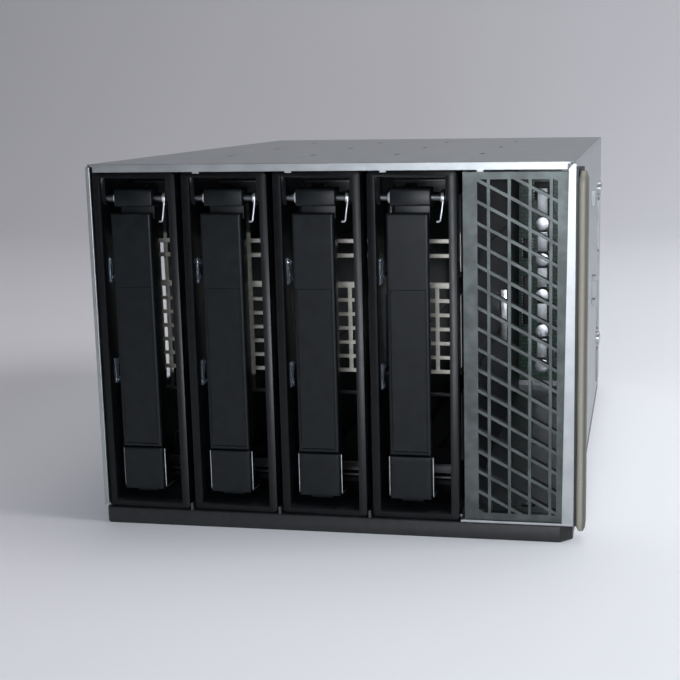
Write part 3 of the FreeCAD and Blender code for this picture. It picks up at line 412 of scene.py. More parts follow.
def rounded_copy(node, radius_mm, angle=35, segments=2, flat=False):
    """A copy of a node with its edges rounded to radius_mm. A flat one is made of sheet: its
    faces are shaded flat, so that long thin triangles don't show."""
    mesh = frame["nodes"][node].data.copy()
    work = bmesh.new()
    work.from_mesh(mesh)
    bmesh.ops.remove_doubles(work, verts=work.verts, dist=1e-6)
    work.to_mesh(mesh)
    work.free()
    piece = bpy.data.objects.new(node + "_rounded", mesh)
    bpy.context.scene.collection.objects.link(piece)
    bevel = piece.modifiers.new("edge_radius", "BEVEL")
    bevel.width = radius_mm * MM
    bevel.segments = segments
    bevel.limit_method = "ANGLE"
    bevel.angle_limit = math.radians(angle)
    bevel.harden_normals = not flat
    if flat:
        mesh.shade_flat()
    else:
        mesh.shade_smooth()
    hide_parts(node)
    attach(piece, body_of_node(node))
    return piece


for bay in BAYS:
    rounded_copy("bezel_%d" % bay, 0.35)
    plate = rounded_copy("vent_plate_%d" % bay, 0.12)
    # Painted shade: the plate's ends are coloured near black because they lie in shadow.
    plate.data.materials[0] = SHADED_PUNCHED_STEEL
for node in ("top_cover", "left_wall", "floor_plate"):
    rounded_copy(node, 0.18, flat=True)
rounded_copy("base_pan", 0.4)
rounded_copy("air_grille", 0.15, flat=True)

# %% [markdown]
# The smaller pieces are made from scratch, as surfaces. Most products are a few kinds of
# surface: an outline carried along a line (a block), a profile turned about an axis (a pin), a
# circle carried along a path (a wire) and a plate whose depth depends on the place. One helper
# skins a stack of rings, one joins skins, and one makes the object. They count in millimetres.

# %% Surfaces from rings
def loft(rings):
    """Skin over an array (rings, points, 3): quads join each ring to the next, and one flat
    face closes each end."""
    count, around = rings.shape[:2]
    index = np.arange(count * around).reshape(count, around)
    after = np.roll(index, -1, axis=1)
    quads = np.stack([index[:-1], after[:-1], after[1:], index[1:]], axis=-1)
    caps = [index[0, ::-1].tolist(), index[-1].tolist()]
    return rings.reshape(-1, 3), quads.reshape(-1, 4).tolist() + caps


def joined(parts):
    """Several skins as one: the numbers of each skin's points follow on."""
    points, faces, start = [], [], 0
    for part_points, part_faces in parts:
        points.append(part_points)
        faces += [[i + start for i in face] for face in part_faces]
        start += len(part_points)
    return np.concatenate(points), faces


def as_piece(name, skin, material, body, nodes=(), crease=40):
    """A finished object from a skin in millimetres, its faces turned outwards."""
    points, faces = skin
    mesh = bpy.data.meshes.new(name)
    mesh.from_pydata((points * MM).tolist(), [], faces)
    work = bmesh.new()
    work.from_mesh(mesh)
    bmesh.ops.recalc_face_normals(work, faces=work.faces)
    work.to_mesh(mesh)
    work.free()
    mesh.shade_smooth()
    mesh.set_sharp_from_angle(angle=math.radians(crease))
    mesh.materials.append(material)
    piece = bpy.data.objects.new(name, mesh)
    bpy.context.scene.collection.objects.link(piece)
    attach(piece, body)
    if nodes:
        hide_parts(*nodes)
    return piece


print("surface helpers: loft, joined, as_piece")

# %% [markdown]
# The other helpers work out the rings: an outline carried along a line, with ends that roll in,
# a circle carried along a path, and circles about an axis.

# %% Blocks, wires and turned forms
QUARTER_BEND = np.linspace(0, math.pi / 2, 6)[1:]


def round_outline(half_u, half_v, corner, steps=4):
    """Rounded rectangle: each quarter of a circle of radius corner is moved out to its own
    corner of the rectangle."""
    quarter = np.arange(4)[:, None] * math.pi / 2
    turn = quarter + np.linspace(0, math.pi / 2, steps + 1)
    side_u = np.sign(np.cos(quarter + math.pi / 4))
    side_v = np.sign(np.sin(quarter + math.pi / 4))
    u = side_u * (half_u - corner) + corner * np.cos(turn)
    v = side_v * (half_v - corner) + corner * np.sin(turn)
    return np.stack([u.ravel(), v.ravel()], axis=-1)


def rolled_ends(start, end, edge):
    """Levels from start to end, and how far the outline draws in at each. At both ends it
    draws in by edge (1 - sin t), edge (1 - cos t) away from the end, t from 0 to 90 degrees."""
    turn = np.linspace(0, math.pi / 2, 4)
    inset, lift = edge * (1 - np.sin(turn)), edge * (1 - np.cos(turn))
    levels = np.concatenate([start + lift, end - lift[::-1]])
    return levels, np.concatenate([inset, inset[::-1]])


def soft_block(low_corner, high_corner, corner, edge, along):
    """Block with corners of radius corner and ends rolled by edge along X, Y or Z (0, 1, 2)."""
    start, end = np.array(low_corner, float), np.array(high_corner, float)
    half, middle = (end - start) / 2, (end + start) / 2
    u, v = [axis for axis in range(3) if axis != along]
    rings = []
    for level, shrink in zip(*rolled_ends(start[along], end[along], edge)):
        flat = round_outline(half[u] - shrink, half[v] - shrink, max(corner - shrink, 0.02))
        ring = np.zeros((len(flat), 3))
        ring[:, u], ring[:, v] = middle[u] + flat[:, 0], middle[v] + flat[:, 1]
        ring[:, along] = level
        rings.append(ring)
    return loft(np.array(rings))


def wire(path, radius, around=10):
    """Round wire: at each point of the path a circle of that radius, square to the path."""
    path = np.asarray(path, float)
    ahead = np.gradient(path, axis=0)
    ahead /= np.linalg.norm(ahead, axis=1, keepdims=True)
    side = np.cross(ahead, (0.8, 0.5, 0.3))
    side /= np.linalg.norm(side, axis=1, keepdims=True)
    up = np.cross(ahead, side)
    turn = np.linspace(0, 2 * math.pi, around, endpoint=False)[None, :, None]
    ring = np.cos(turn) * side[:, None] + np.sin(turn) * up[:, None]
    return loft(path[:, None] + radius * ring)


def turned(profile, foot, along, around=28):
    """Lathe form: each (height, radius) of the profile is a circle about the axis that starts
    at foot and runs along X, Y or Z (0, 1 or 2)."""
    profile = np.array(profile, float)
    turn = np.linspace(0, 2 * math.pi, around, endpoint=False)
    u, v = [axis for axis in range(3) if axis != along]
    rings = np.zeros((len(profile), around, 3))
    rings[..., along] = foot[along] + profile[:, :1]
    rings[..., u] = foot[u] + profile[:, 1:] * np.cos(turn)
    rings[..., v] = foot[v] + profile[:, 1:] * np.sin(turn)
    return loft(rings)


def extruded(profile, start, end, edge):
    """Bar along X with rolled ends: the profile, an array of (y, z), shrinks towards its own
    middle by up to edge at both ends."""
    profile = np.asarray(profile, float)
    middle = profile.mean(axis=0)
    out = profile - middle
    reach = np.linalg.norm(out, axis=1, keepdims=True)
    levels, shrink = rolled_ends(start, end, edge)
    rings = np.zeros((len(levels), len(profile), 3))
    rings[..., 0] = levels[:, None]
    rings[..., 1:] = middle + out * (1 - shrink[:, None, None] / reach)
    return loft(rings)


def smooth_loop(corners, radius, steps=4):
    """A polygon with round corners: at each corner a quadratic curve from radius before it to
    radius after it, with the corner as its middle point."""
    corners = np.asarray(corners, float)
    before, after = np.roll(corners, 1, axis=0) - corners, np.roll(corners, -1, axis=0) - corners
    length_before = np.linalg.norm(before, axis=1, keepdims=True)
    length_after = np.linalg.norm(after, axis=1, keepdims=True)
    first = corners + before / length_before * np.minimum(radius, 0.45 * length_before)
    last = corners + after / length_after * np.minimum(radius, 0.45 * length_after)
    t = np.linspace(0, 1, steps)[None, :, None]
    curve = ((1 - t) ** 2 * first[:, None] + 2 * t * (1 - t) * corners[:, None]
             + t ** 2 * last[:, None])
    return curve.reshape(-1, 2)


print("form helpers: soft_block, wire, turned, extruded, smooth_loop")

# %% [markdown]
# A handle's front is a flat moulding with a rolled rim, and its lower part lies a third of a
# millimetre deeper, which draws the fine line across it. Such a face is a height field: the
# depth is a function of the place, so it is worked out on a grid whose lines crowd together
# where the depth changes. The rim is then carried back to a flat rear face.

# %% Height-field plate
def pressed_plate(x_range, z_range, front, thickness, edge, dents=()):
    """Plate whose front lies edge - sqrt(edge^2 - (edge - d)^2) deep at distance d from its
    rim. Inside each dent (x range, z range, depth, wall) it lies deeper, by a smooth step
    over the width of the dent's wall."""
    roll = edge * (1 - np.cos(np.linspace(0, math.pi / 2, 5)))

    def stations(ends, marks):
        inner = np.linspace(ends[0] + edge, ends[1] - edge, 10)
        every = np.concatenate([ends[0] + roll, ends[1] - roll, inner, marks])
        return np.unique(np.round(every[(every >= ends[0]) & (every <= ends[1])], 4))

    marks_x, marks_z = [np.concatenate([[span[0], span[0] + dent[3] / 2, span[0] + dent[3],
                                         span[1] - dent[3], span[1] - dent[3] / 2, span[1]]
                                        for dent in dents for span in [dent[axis]]] or [[]])
                        for axis in (0, 1)]
    xs, zs = stations(x_range, marks_x), stations(z_range, marks_z)
    x, z = np.meshgrid(xs, zs, indexing="ij")
    rim = np.minimum.reduce([x - x_range[0], x_range[1] - x, z - z_range[0], z_range[1] - z])
    near = edge - np.clip(rim, 0, edge)
    depth = edge - np.sqrt(np.maximum(edge ** 2 - near ** 2, 0))
    for (dx0, dx1), (dz0, dz1), deep, wall in dents:
        inside = np.minimum.reduce([x - dx0, dx1 - x, z - dz0, dz1 - z])
        t = np.clip(inside / wall, 0, 1)
        depth += deep * t * t * (3 - 2 * t)
    grid = np.stack([x, front + depth, z], axis=-1)
    rows, columns = x.shape
    index = np.arange(rows * columns).reshape(rows, columns)
    quads = np.stack([index[:-1, :-1], index[1:, :-1], index[1:, 1:], index[:-1, 1:]], axis=-1)
    loop = np.concatenate([index[:-1, 0], index[-1, :-1], index[:0:-1, -1], index[0, :0:-1]])
    points = grid.reshape(-1, 3)
    back = points[loop].copy()
    back[:, 1] = front + thickness
    rear = rows * columns + np.arange(len(loop))
    skirt = np.stack([loop, np.roll(loop, -1), np.roll(rear, -1), rear], axis=-1)
    faces = quads.reshape(-1, 4).tolist() + skirt.tolist() + [rear.tolist()]
    return np.concatenate([points, back]), faces


print("height-field helper: pressed_plate")

# %% [markdown]
# Each carrier is pulled out by its handle, a lever that hangs from a pin at the top. It is one
# moulding: a front plate, two flanges behind it that stiffen it like a channel, a pivot block
# round the pin with a dark gap under it, and two cheeks that guide the latch. The latch is a
# push button of the same plastic.

# %% The handle's channel
HANDLE_PLATE, HANDLE_DEPTH, HANDLE_RIM, END_MARGIN = 2.2, 10.0, 0.55, 0.6
FIELD_MARGIN, FIELD_TOP, FIELD_DEPTH, FIELD_WALL = 0.9, 79.2, 0.35, 0.22
FLANGE_INSET, FLANGE_WALL, CHEEK, CHEEK_START = 1.2, 1.2, 0.9, 4.1
RIB_GAP, BRIDGE_THICK, BRIDGE_LIFT = 0.3, 1.2, 4
SPLIT_GAP, PANEL_BELOW_PIN = 0.4, 4.7


def corners_mm(node):
    """Lowest and highest corner of a node's box, in millimetres."""
    low_corner, high_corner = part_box(node)
    return np.array(low_corner) / MM, np.array(high_corner) / MM


def lines_of(bay):
    """The lines that a handle and its latch share: both sides, the front, the joint between
    the two, and the foot."""
    latch_low, latch_high = corners_mm("latch_%d" % bay)
    foot = corners_mm("handle_%d" % bay)[0][2]
    return latch_low[0], latch_high[0], latch_low[1], latch_high[2], foot


def pin_middle(bay):
    pin_low, pin_high = corners_mm("hinge_pin_%d" % bay)
    return (pin_low + pin_high) / 2


def rib(low_corner, high_corner):
    return soft_block(low_corner, high_corner, 0.3, 0.2, 1)


def channel(bay):
    """Front plate with its sunk field, two flanges, two cheeks, and three ribs across."""
    x0, x1, front, split, foot = lines_of(bay)
    top, bottom = pin_middle(bay)[2] - PANEL_BELOW_PIN, split + SPLIT_GAP
    back, fold = front + HANDLE_DEPTH, front + HANDLE_PLATE - 0.1
    field = ((x0 + FIELD_MARGIN, x1 - FIELD_MARGIN), (bottom + 1, FIELD_TOP),
             FIELD_DEPTH, FIELD_WALL)
    parts = [pressed_plate((x0, x1), (bottom, top), front, HANDLE_PLATE, HANDLE_RIM, [field])]
    for side in (x0 + FLANGE_INSET, x1 - FLANGE_INSET - FLANGE_WALL):
        parts.append(soft_block((side, fold, bottom + END_MARGIN),
                                (side + FLANGE_WALL, back, top - END_MARGIN), 0.5, 0.2, 1))
    for side in (x0 + FLANGE_INSET, x1 - FLANGE_INSET - CHEEK):
        parts.append(soft_block((side, front + CHEEK_START, foot),
                                (side + CHEEK, back, bottom + 2), 0.3, 0.15, 1))
    left, right = x0 + FLANGE_INSET + RIB_GAP, x1 - FLANGE_INSET - RIB_GAP
    parts.append(rib((left, fold, top - 2.6), (right, back, top - END_MARGIN)))
    parts.append(rib((left, fold, bottom + END_MARGIN), (right, back, bottom + 1.6)))
    parts.append(rib((left, back - BRIDGE_THICK, foot + BRIDGE_LIFT), (right, back, bottom + 1)))
    return parts


print("handle depth in mm:", HANDLE_DEPTH)

# %% [markdown]
# The pivot block turns on the pin. A neck joins it to the channel and a claw stands behind it.
# Both have polygons with round corners as outlines.

# %% The pivot block
PIVOT_SHIFT = 0.55
NECK_INSET, NECK_START, NECK_BACK, NECK_DROP = 0.7, 4.4, 2.4, 2
CLAW_START, CLAW_END = 3, 7
CLAW = ((2, -1), (7, 0.6), (7.6, 4), (5.4, 3.2), (1.6, 2.6))


def pivot(bay):
    """Neck, block and claw, between two levels that lie evenly about the block's middle."""
    front, pin = lines_of(bay)[2], pin_middle(bay)
    end = corners_mm("handle_%d" % bay)[1][0]
    start = 2 * (pin[0] - PIVOT_SHIFT) - end
    neck = rib((start + NECK_INSET, front + NECK_START, pin[2] - PANEL_BELOW_PIN - NECK_DROP),
               (end - NECK_INSET, pin[1] + NECK_BACK, pin[2]))
    block = smooth_loop([(front + 0.4, pin[2] - 2.5), (pin[1] + 2.8, pin[2] - 2.5),
                         (pin[1] + 3.4, pin[2] + 3.2), (front + 0.6, pin[2] + 2.9)], 0.8)
    claw = smooth_loop([(pin[1] + back, pin[2] + up) for back, up in CLAW], 0.5)
    return [neck, extruded(block, start, end, 0.35),
            extruded(claw, start + CLAW_START, start + CLAW_END, 0.3)]


print("pivot block middle, mm left of the pin's:", PIVOT_SHIFT)

# %% [markdown]
# The latch has a face that closes the handle's foot, a block between the cheeks, a nose that
# points down, 1 mm clear of the frame's sill, and a thin leaf behind.

# %% Latches, then both kinds of piece
FACE_THICK, FACE_RIM, CHEEK_GAP = 2.0, 0.5, 0.15
NOSE = ((3, 1), (3, -1.2), (3.6, -1.8), (5, -1.8), (5, 1))


def button(bay):
    """Face, block, nose and leaf. The nose's points are counted from the front and the foot."""
    x0, x1, front, split, foot = lines_of(bay)
    side = FLANGE_INSET + CHEEK + CHEEK_GAP
    block = soft_block((x0 + side, front + 1.9, foot + 0.5), (x1 - side, front + 5, split),
                       0.3, 0.15, 1)
    nose = smooth_loop([(front + back, foot + up) for back, up in NOSE], 0.3)
    leaf = [(front + 4.9, split - 3), (front + 6.5, split - 8), (front + 6.5, foot + 5),
            (front + 6, foot + 5), (front + 6, split - 8), (front + 4.9, split - 4.5)]
    return [pressed_plate((x0, x1), (foot, split), front, FACE_THICK, FACE_RIM), block,
            extruded(nose, x0 + side + 0.8, x1 - side - 0.8, 0.15),
            extruded(leaf, x0 + side + 1.5, x1 - side - 1.5, 0.1)]


for bay in BAYS:
    handle, latch = "handle_%d" % bay, "latch_%d" % bay
    as_piece("handle_moulding_%d" % bay, joined(channel(bay) + pivot(bay)), HANDLE_ABS, handle,
             [handle])
    as_piece("latch_button_%d" % bay, joined(button(bay)), HANDLE_ABS, latch,
             [latch])
print("handles and latches:", len(BAYS))

# %% [markdown]
# The pin is a hardened steel rod with chamfered ends, and a white acetal bush spaces the handle
# on it. A torsion spring of steel wire sits beside the pivot block: a little over three turns,
# one leg to the rear, and one down the front that ends in a small hook.

# %% Pins, bushes and springs
CHAMFER, BUSH_LEFT = 0.3, 7.4
BUSH_PROFILE = ((0, 1.2), (0.15, 1.6), (0.35, 1.75), (0.75, 1.75), (0.9, 1.5))
SPRING_WIRE, SPRING_RADIUS, SPRING_TURNS, COIL_INSET = 0.38, 1.85, 3.25, 1.1
TAIL_END, LEG_DROP, LEG_LEAN, LEG_BEND, HOOK = 6.6, 7.3, 0.9, 0.6, 1.2

def coil_and_legs(left, right, axis):
    """Path of a spring about the pin: rear leg, helix from left to right, front leg, a quarter
    bend and the hook."""
    turn = np.linspace(0, 2 * math.pi * SPRING_TURNS, 90)
    helix = np.stack([left + (right - left) * turn / turn[-1],
                      axis[1] - SPRING_RADIUS * np.sin(turn),
                      axis[2] + SPRING_RADIUS * np.cos(turn)], axis=-1)
    tail = np.stack([np.full(8, left), np.linspace(axis[1] + TAIL_END, axis[1] + LEG_BEND, 8),
                     np.full(8, axis[2] + SPRING_RADIUS)], axis=-1)
    drop = np.linspace(LEG_BEND, LEG_DROP - LEG_BEND, 10)
    leg = np.stack([right - np.linspace(0, LEG_LEAN, 10), np.full(10, axis[1] - SPRING_RADIUS),
                    axis[2] - drop], axis=-1)
    bend = leg[-1] - LEG_BEND * np.stack([1 - np.cos(QUARTER_BEND), 0 * QUARTER_BEND,
                                          np.sin(QUARTER_BEND)], axis=-1)
    hook = bend[-1] - np.array([[0.3, 0, 0], [HOOK - LEG_BEND, 0, 0]])
    return np.concatenate([tail, helix, leg, bend, hook])


for bay in BAYS:
    body, axis = "carrier_%d" % bay, pin_middle(bay)
    pin_low, pin_high = corners_mm("hinge_pin_%d" % bay)
    radius, length = (pin_high[2] - pin_low[2]) / 2, pin_high[0] - pin_low[0]
    rod = turned([(0, radius - CHAMFER), (CHAMFER, radius), (length - CHAMFER, radius),
                  (length, radius - CHAMFER)], (pin_low[0], axis[1], axis[2]), 0)
    as_piece("steel_pin_%d" % bay, rod, PIN_STEEL, body,
             ["hinge_pin_%d" % bay])
    bush = turned(BUSH_PROFILE, (axis[0] - PIVOT_SHIFT - BUSH_LEFT, axis[1], axis[2]), 0)
    as_piece("bush_%d" % bay, bush, ACETAL, body)
    coil_low, coil_high = corners_mm("torsion_spring_%d" % bay)
    path = coil_and_legs(coil_low[0] + COIL_INSET + SPRING_WIRE, coil_high[0] - SPRING_WIRE,
                         axis)
    as_piece("spring_%d" % bay, wire(path, SPRING_WIRE), BRIGHT_STEEL, body,
             ["torsion_spring_%d" % bay])
print("pins and springs:", len(BAYS))

# %% [markdown]
# A bent wire stands on each side of every latch. It runs down beside the latch and bends to the
# rear just above the foot, and it stays with the handle when the latch is pressed.

# %% Wires beside the latches
WIRE_RADIUS, WIRE_CLEAR, WIRE_BEND, WIRE_END = 0.24, 0.42, 0.8, 6.5

for bay in BAYS:
    x0, x1, front, split, foot = lines_of(bay)
    parts = []
    for x in (x0 - WIRE_CLEAR, x1 + WIRE_CLEAR):
        drop = np.linspace(split - 0.5, foot + 1.2, 8)
        leg = np.stack([np.full(8, x), np.full(8, front + 1.6), drop], axis=-1)
        bend = leg[-1] + WIRE_BEND * np.stack([0 * QUARTER_BEND, 1 - np.cos(QUARTER_BEND),
                                               -np.sin(QUARTER_BEND)], axis=-1)
        under = bend[-1] + np.array([[0, 0.5, 0], [0, WIRE_END, 0]])
        parts.append(wire(np.concatenate([leg, bend, under]), WIRE_RADIUS))
    as_piece("latch_wire_%d" % bay, joined(parts), BRIGHT_STEEL, "handle_%d" % bay)
print("latch wires: 2 in each bay")

# %% [markdown]
# Two light pipes of clear acrylic stand inside the left edge of each carrier's frame. They bring
# the board's signal lamps to the front, through small lenses.

# %% Light pipes
PIPE_FEET, PIPE_LENSES = (46.5, 80), (47.8, 54, 81.8, 87)
PIPE_SIZE, PIPE_PLACE = (0.9, 1.8, 8.5), (2.5, 3.6)
LENS_PROFILE = ((0, 1.0), (0.25, 0.95), (0.5, 0.6), (0.58, 0.1))

for bay in BAYS:
    frame_low = corners_mm("bezel_%d" % bay)[0]
    wall, y = frame_low[0] + PIPE_PLACE[0], frame_low[1] + PIPE_PLACE[1]
    parts = [soft_block((wall, y, z), np.array((wall, y, z)) + PIPE_SIZE, 0.4, 0.3, 0)
             for z in PIPE_FEET]
    parts += [turned(LENS_PROFILE, (wall + 0.85, y + 1.1, z), 0, 16) for z in PIPE_LENSES]
    as_piece("light_pipe_%d" % bay, joined(parts), CLEAR_ACRYLIC, "carrier_%d" % bay)
print("light pipes:", len(BAYS))

# %% [markdown]
# The gasket beside the right wall is a strip of foam in conductive cloth that closes the gap to
# the next module. It is soft, so its sides bulge a little between the places where it is glued.

# %% Gasket
GASKET_CORNER, SWELL, GLUE_SPACING, END_ROLL = 1.1, 0.03, 28, 1.5

strip_low, strip_high = corners_mm("gasket_strip")
heights = np.linspace(strip_low[2], strip_high[2], 60)
section = round_outline((strip_high[0] - strip_low[0]) / 2, (strip_high[1] - strip_low[1]) / 2,
                        GASKET_CORNER, 6)
centre = (strip_low + strip_high) / 2
phase = (heights - strip_low[2]) * 2 * math.pi / GLUE_SPACING
swell = 1 - SWELL * (0.5 + 0.5 * np.cos(phase))
from_end = np.minimum(heights - strip_low[2], strip_high[2] - heights) / END_ROLL
ends = np.sqrt(1 - (1 - np.clip(from_end, 0.15, 1)) ** 2)
rings = np.zeros((len(heights), len(section), 3))
rings[..., 0] = centre[0] + section[:, 0] * (swell * ends)[:, None]
rings[..., 1] = centre[1] + section[:, 1] * (swell * ends)[:, None]
rings[..., 2] = heights[:, None]
gasket = as_piece("foam_gasket", loft(rings), GASKET_CLOTH, "cage",
                  ["gasket_strip"], crease=60)
print("gasket length in mm:", round(float(heights[-1] - heights[0]), 1))

# %% [markdown]
# The screws have flat heads with a cross recess. A head is a disc whose height is a function of
# the place on it: it falls off at the rim, and inside the cross it lies deeper.

# %% Screw heads
def screw_head(centre, out, radius, height):
    """Head on a polar grid, its axis along out (+X or -Y): the top is a flat dome
    height (1 - 0.3 r^4 / radius^4), less 0.7 mm inside two crossed bars 0.8 mm wide."""
    r = np.concatenate([np.linspace(0.05, 0.62 * radius, 12), np.linspace(0.7, 1, 5) * radius])
    turn = np.linspace(0, 2 * math.pi, 48, endpoint=False)
    u, v = r[:, None] * np.cos(turn), r[:, None] * np.sin(turn)
    top = height * (1 - 0.3 * (r[:, None] / radius) ** 4) + 0 * u
    arm = 0.6 * radius
    bars = ((np.abs(u) < 0.4) & (np.abs(v) < arm)) | ((np.abs(v) < 0.4) & (np.abs(u) < arm))
    top = np.where(bars, top - 0.7, top)
    u, v, top = [np.vstack([grid, edge]) for grid, edge in
                 ((u, u[-1:]), (v, v[-1:]), (top, np.zeros((1, len(turn)))))]
    axes = {"+X": (top, u, v), "-Y": (u, -top, v)}[out]
    return loft(np.stack([centre[i] + axes[i] for i in range(3)], axis=-1))


def solids_of(node, axis=2):
    """Lowest and highest corners of a node's separate solids, in order along an axis. Points
    at the same place count as one; each point then takes the lowest number among its
    neighbours, again and again, until every solid has one number."""
    mesh = frame["nodes"][node].data
    points = np.empty(len(mesh.vertices) * 3)
    mesh.vertices.foreach_get("co", points)
    ends = np.empty(len(mesh.edges) * 2, dtype=np.int32)
    mesh.edges.foreach_get("vertices", ends)
    places, number = np.unique(np.round(points.reshape(-1, 3) / MM, 3), axis=0,
                               return_inverse=True)
    ends = number.ravel()[ends].reshape(-1, 2)
    label, before = np.arange(len(places)), None
    while before is None or (label != before).any():
        before = label.copy()
        for side in (0, 1):
            np.minimum.at(label, ends[:, side], before[ends].min(axis=1))
    solids = [places[label == number] for number in np.unique(label)]
    return sorted([(solid.min(axis=0), solid.max(axis=0)) for solid in solids],
                  key=lambda corners: corners[0][axis])


heads = []
for low_corner, high_corner in solids_of("bracket_screws"):
    centre = (low_corner + high_corner) / 2
    heads.append(screw_head((low_corner[0], centre[1], centre[2]), "+X", 3.0, 1.75))
as_piece("wall_screws", joined(heads), BRIGHT_STEEL, "cage", ["bracket_screws"])

heads = []
for low_corner, high_corner in solids_of("board_screws"):
    centre = (low_corner + high_corner) / 2
    heads.append(screw_head((centre[0], high_corner[1], centre[2]), "-Y", 2.6, 1.55))
as_piece("board_screw_heads", joined(heads), BRIGHT_STEEL, "cage",
         ["board_screws"])
print("screw heads: 2 on the wall, %d on the board" % len(heads))

# %% [markdown]
# In the duct the board carries a column of can capacitors. A can is drawn from aluminium, with a
# groove pressed in near its foot. A row of plated headers stands between the cans, and a bright
# earthing clip faces them. The chips are moulded epoxy with rows of tinned legs.

# %% Cans, headers and earthing clip
HEADER_HALF, HEADER_DEPTH, HEADER_GAP, HEADER_TOP = 2.4, 5.5, 0.4, 98
CLIP_REACH, CLIP_DEPTH, CLIP_HEIGHTS = 2.6, (-6, -5.4), (44, 64)


def can(low_corner, high_corner):
    """Capacitor along Y: a turned profile, rounded at the front, with a groove by the board."""
    radius = (high_corner[0] - low_corner[0]) / 2
    length = high_corner[1] - low_corner[1]
    x, z = (low_corner[0] + high_corner[0]) / 2, (low_corner[2] + high_corner[2]) / 2
    profile = [(0, radius - 0.6), (0.1, radius - 0.15), (0.5, radius), (length - 1.9, radius),
               (length - 1.6, radius - 0.3), (length - 1.3, radius), (length, radius)]
    return turned(profile, (x, low_corner[1], z), 1, 24)


board_front = corners_mm("backplane_board")[0][1]
cans = solids_of("board_capacitors")
as_piece("can_capacitors", joined([can(*corner) for corner in cans]), CAN_ALUMINIUM, "cage",
         ["board_capacitors"])
column = (cans[0][0][0] + cans[0][1][0]) / 2
spaces = [(lower[1][2] + HEADER_GAP, upper[0][2] - HEADER_GAP)
          for lower, upper in zip(cans, cans[1:])]
spaces.append((cans[-1][1][2] + HEADER_GAP, HEADER_TOP))
headers = [soft_block((column - HEADER_HALF, board_front - HEADER_DEPTH, z0),
                      (column + HEADER_HALF, board_front, z1), 0.4, 0.3, 1)
           for z0, z1 in spaces]
as_piece("plated_headers", joined(headers), GALVANISED, "cage")
divider = corners_mm("divider_4")[1][0]
clip = soft_block((divider, CLIP_DEPTH[0], CLIP_HEIGHTS[0]),
                  (divider + CLIP_REACH, CLIP_DEPTH[1], CLIP_HEIGHTS[1]), 0.25, 0.2, 2)
as_piece("earth_clip", clip, BRIGHT_STEEL, "cage")
print("cans:", len(cans), "headers:", len(headers))

# %% [markdown]
# A chip's legs come out on both sides, 1.27 mm apart, as on the usual small-outline package.

# %% Chips
LEG, LEG_PITCH, CHIP_INSET = 0.5, 1.27, (0.4, 0, 0)

chips, legs = [], []
for low_corner, high_corner in solids_of("board_chips"):
    chips.append(soft_block(low_corner + CHIP_INSET, high_corner - CHIP_INSET, 0.2, 0.15, 1))
    for z in np.arange(low_corner[2] + 0.8, high_corner[2] - LEG, LEG_PITCH):
        for x in (low_corner[0], high_corner[0] - LEG):
            legs.append(soft_block((x, high_corner[1] - LEG, z),
                                   (x + LEG, high_corner[1], z + LEG), 0.1, 0.1, 1))
as_piece("epoxy_chips", joined(chips), CONNECTOR_PLASTIC, "cage",
         ["board_chips"])
as_piece("chip_legs", joined(legs), BRIGHT_STEEL, "cage")
print("chips:", len(chips), "legs:", len(legs))

# %% [markdown]
# Each drive plugs onto an upright socket on the board. In its slot stand gold-plated contacts
# 1.27 mm apart: fifteen for power and seven for data, with a gap between the two groups. The
# cable sockets on the rear have two columns of pins.

# %% Contacts in the sockets
CONTACT_PITCH, CONTACT_GROUPS = 1.27, ((6, 15), (27.5, 7))
SIGNAL_ROWS, SIGNAL_PITCH, SIGNAL_COLUMNS = 12, 1.4, (4.4, 6.4)
POWER_ROWS, POWER_PITCH, POWER_SPREAD = 4, 6, 5.2
POWER_PIN = ((0, 0.5), (6, 0.5), (6.5, 0.3))

contacts = []
for low_corner, high_corner in solids_of("drive_connectors", 0):
    x = low_corner[0] + 1.9
    for group_start, count in CONTACT_GROUPS:
        for i in range(count):
            z = low_corner[2] + group_start + CONTACT_PITCH * i
            contacts.append(soft_block((x + 1.5, low_corner[1] + 1.2, z),
                                       (x + 1.78, high_corner[1] - 0.6, z + 0.6), 0.08, 0.08, 0))
as_piece("drive_contacts", joined(contacts), GOLD, "cage")

pins = []
for low_corner, high_corner in solids_of("signal_connectors", 0):
    for row in range(SIGNAL_ROWS):
        z = low_corner[2] + 4 + SIGNAL_PITCH * row
        for x in [low_corner[0] + place for place in SIGNAL_COLUMNS]:
            pins.append(soft_block((x, low_corner[1] + 2.5, z),
                                   (x + 0.22, high_corner[1] - 4, z + 0.6), 0.08, 0.08, 0))
power_low = corners_mm("power_connector")[0]
for column in range(2):
    for row in range(POWER_ROWS):
        x = power_low[0] + 2.9 + POWER_SPREAD * column
        z = power_low[2] + 4 + POWER_PITCH * row
        pins.append(turned(POWER_PIN, (x, power_low[1] + 4, z), 1, 12))
as_piece("connector_pins", joined(pins), GOLD, "cage")
print("contacts:", len(contacts), "pins:", len(pins))

# %% [markdown]
# The cage stands on a pale card that rises behind it in a wide curve, so no horizon shows. The
# card glows towards the right and the front, and less with distance, but only the camera and
# clear or shiny surfaces see the glow, so it doesn't light the object.

# %% Card
CARD_REACH, CURVE_START, CURVE_RADIUS, CARD_TOP = 6.0, 0.8, 0.7, 2.4
GLOW_ACROSS, GLOW_DEPTH, GLOW_FADE = (-0.2, 0.45), (1.4, -0.2), (0.7, 2.0)


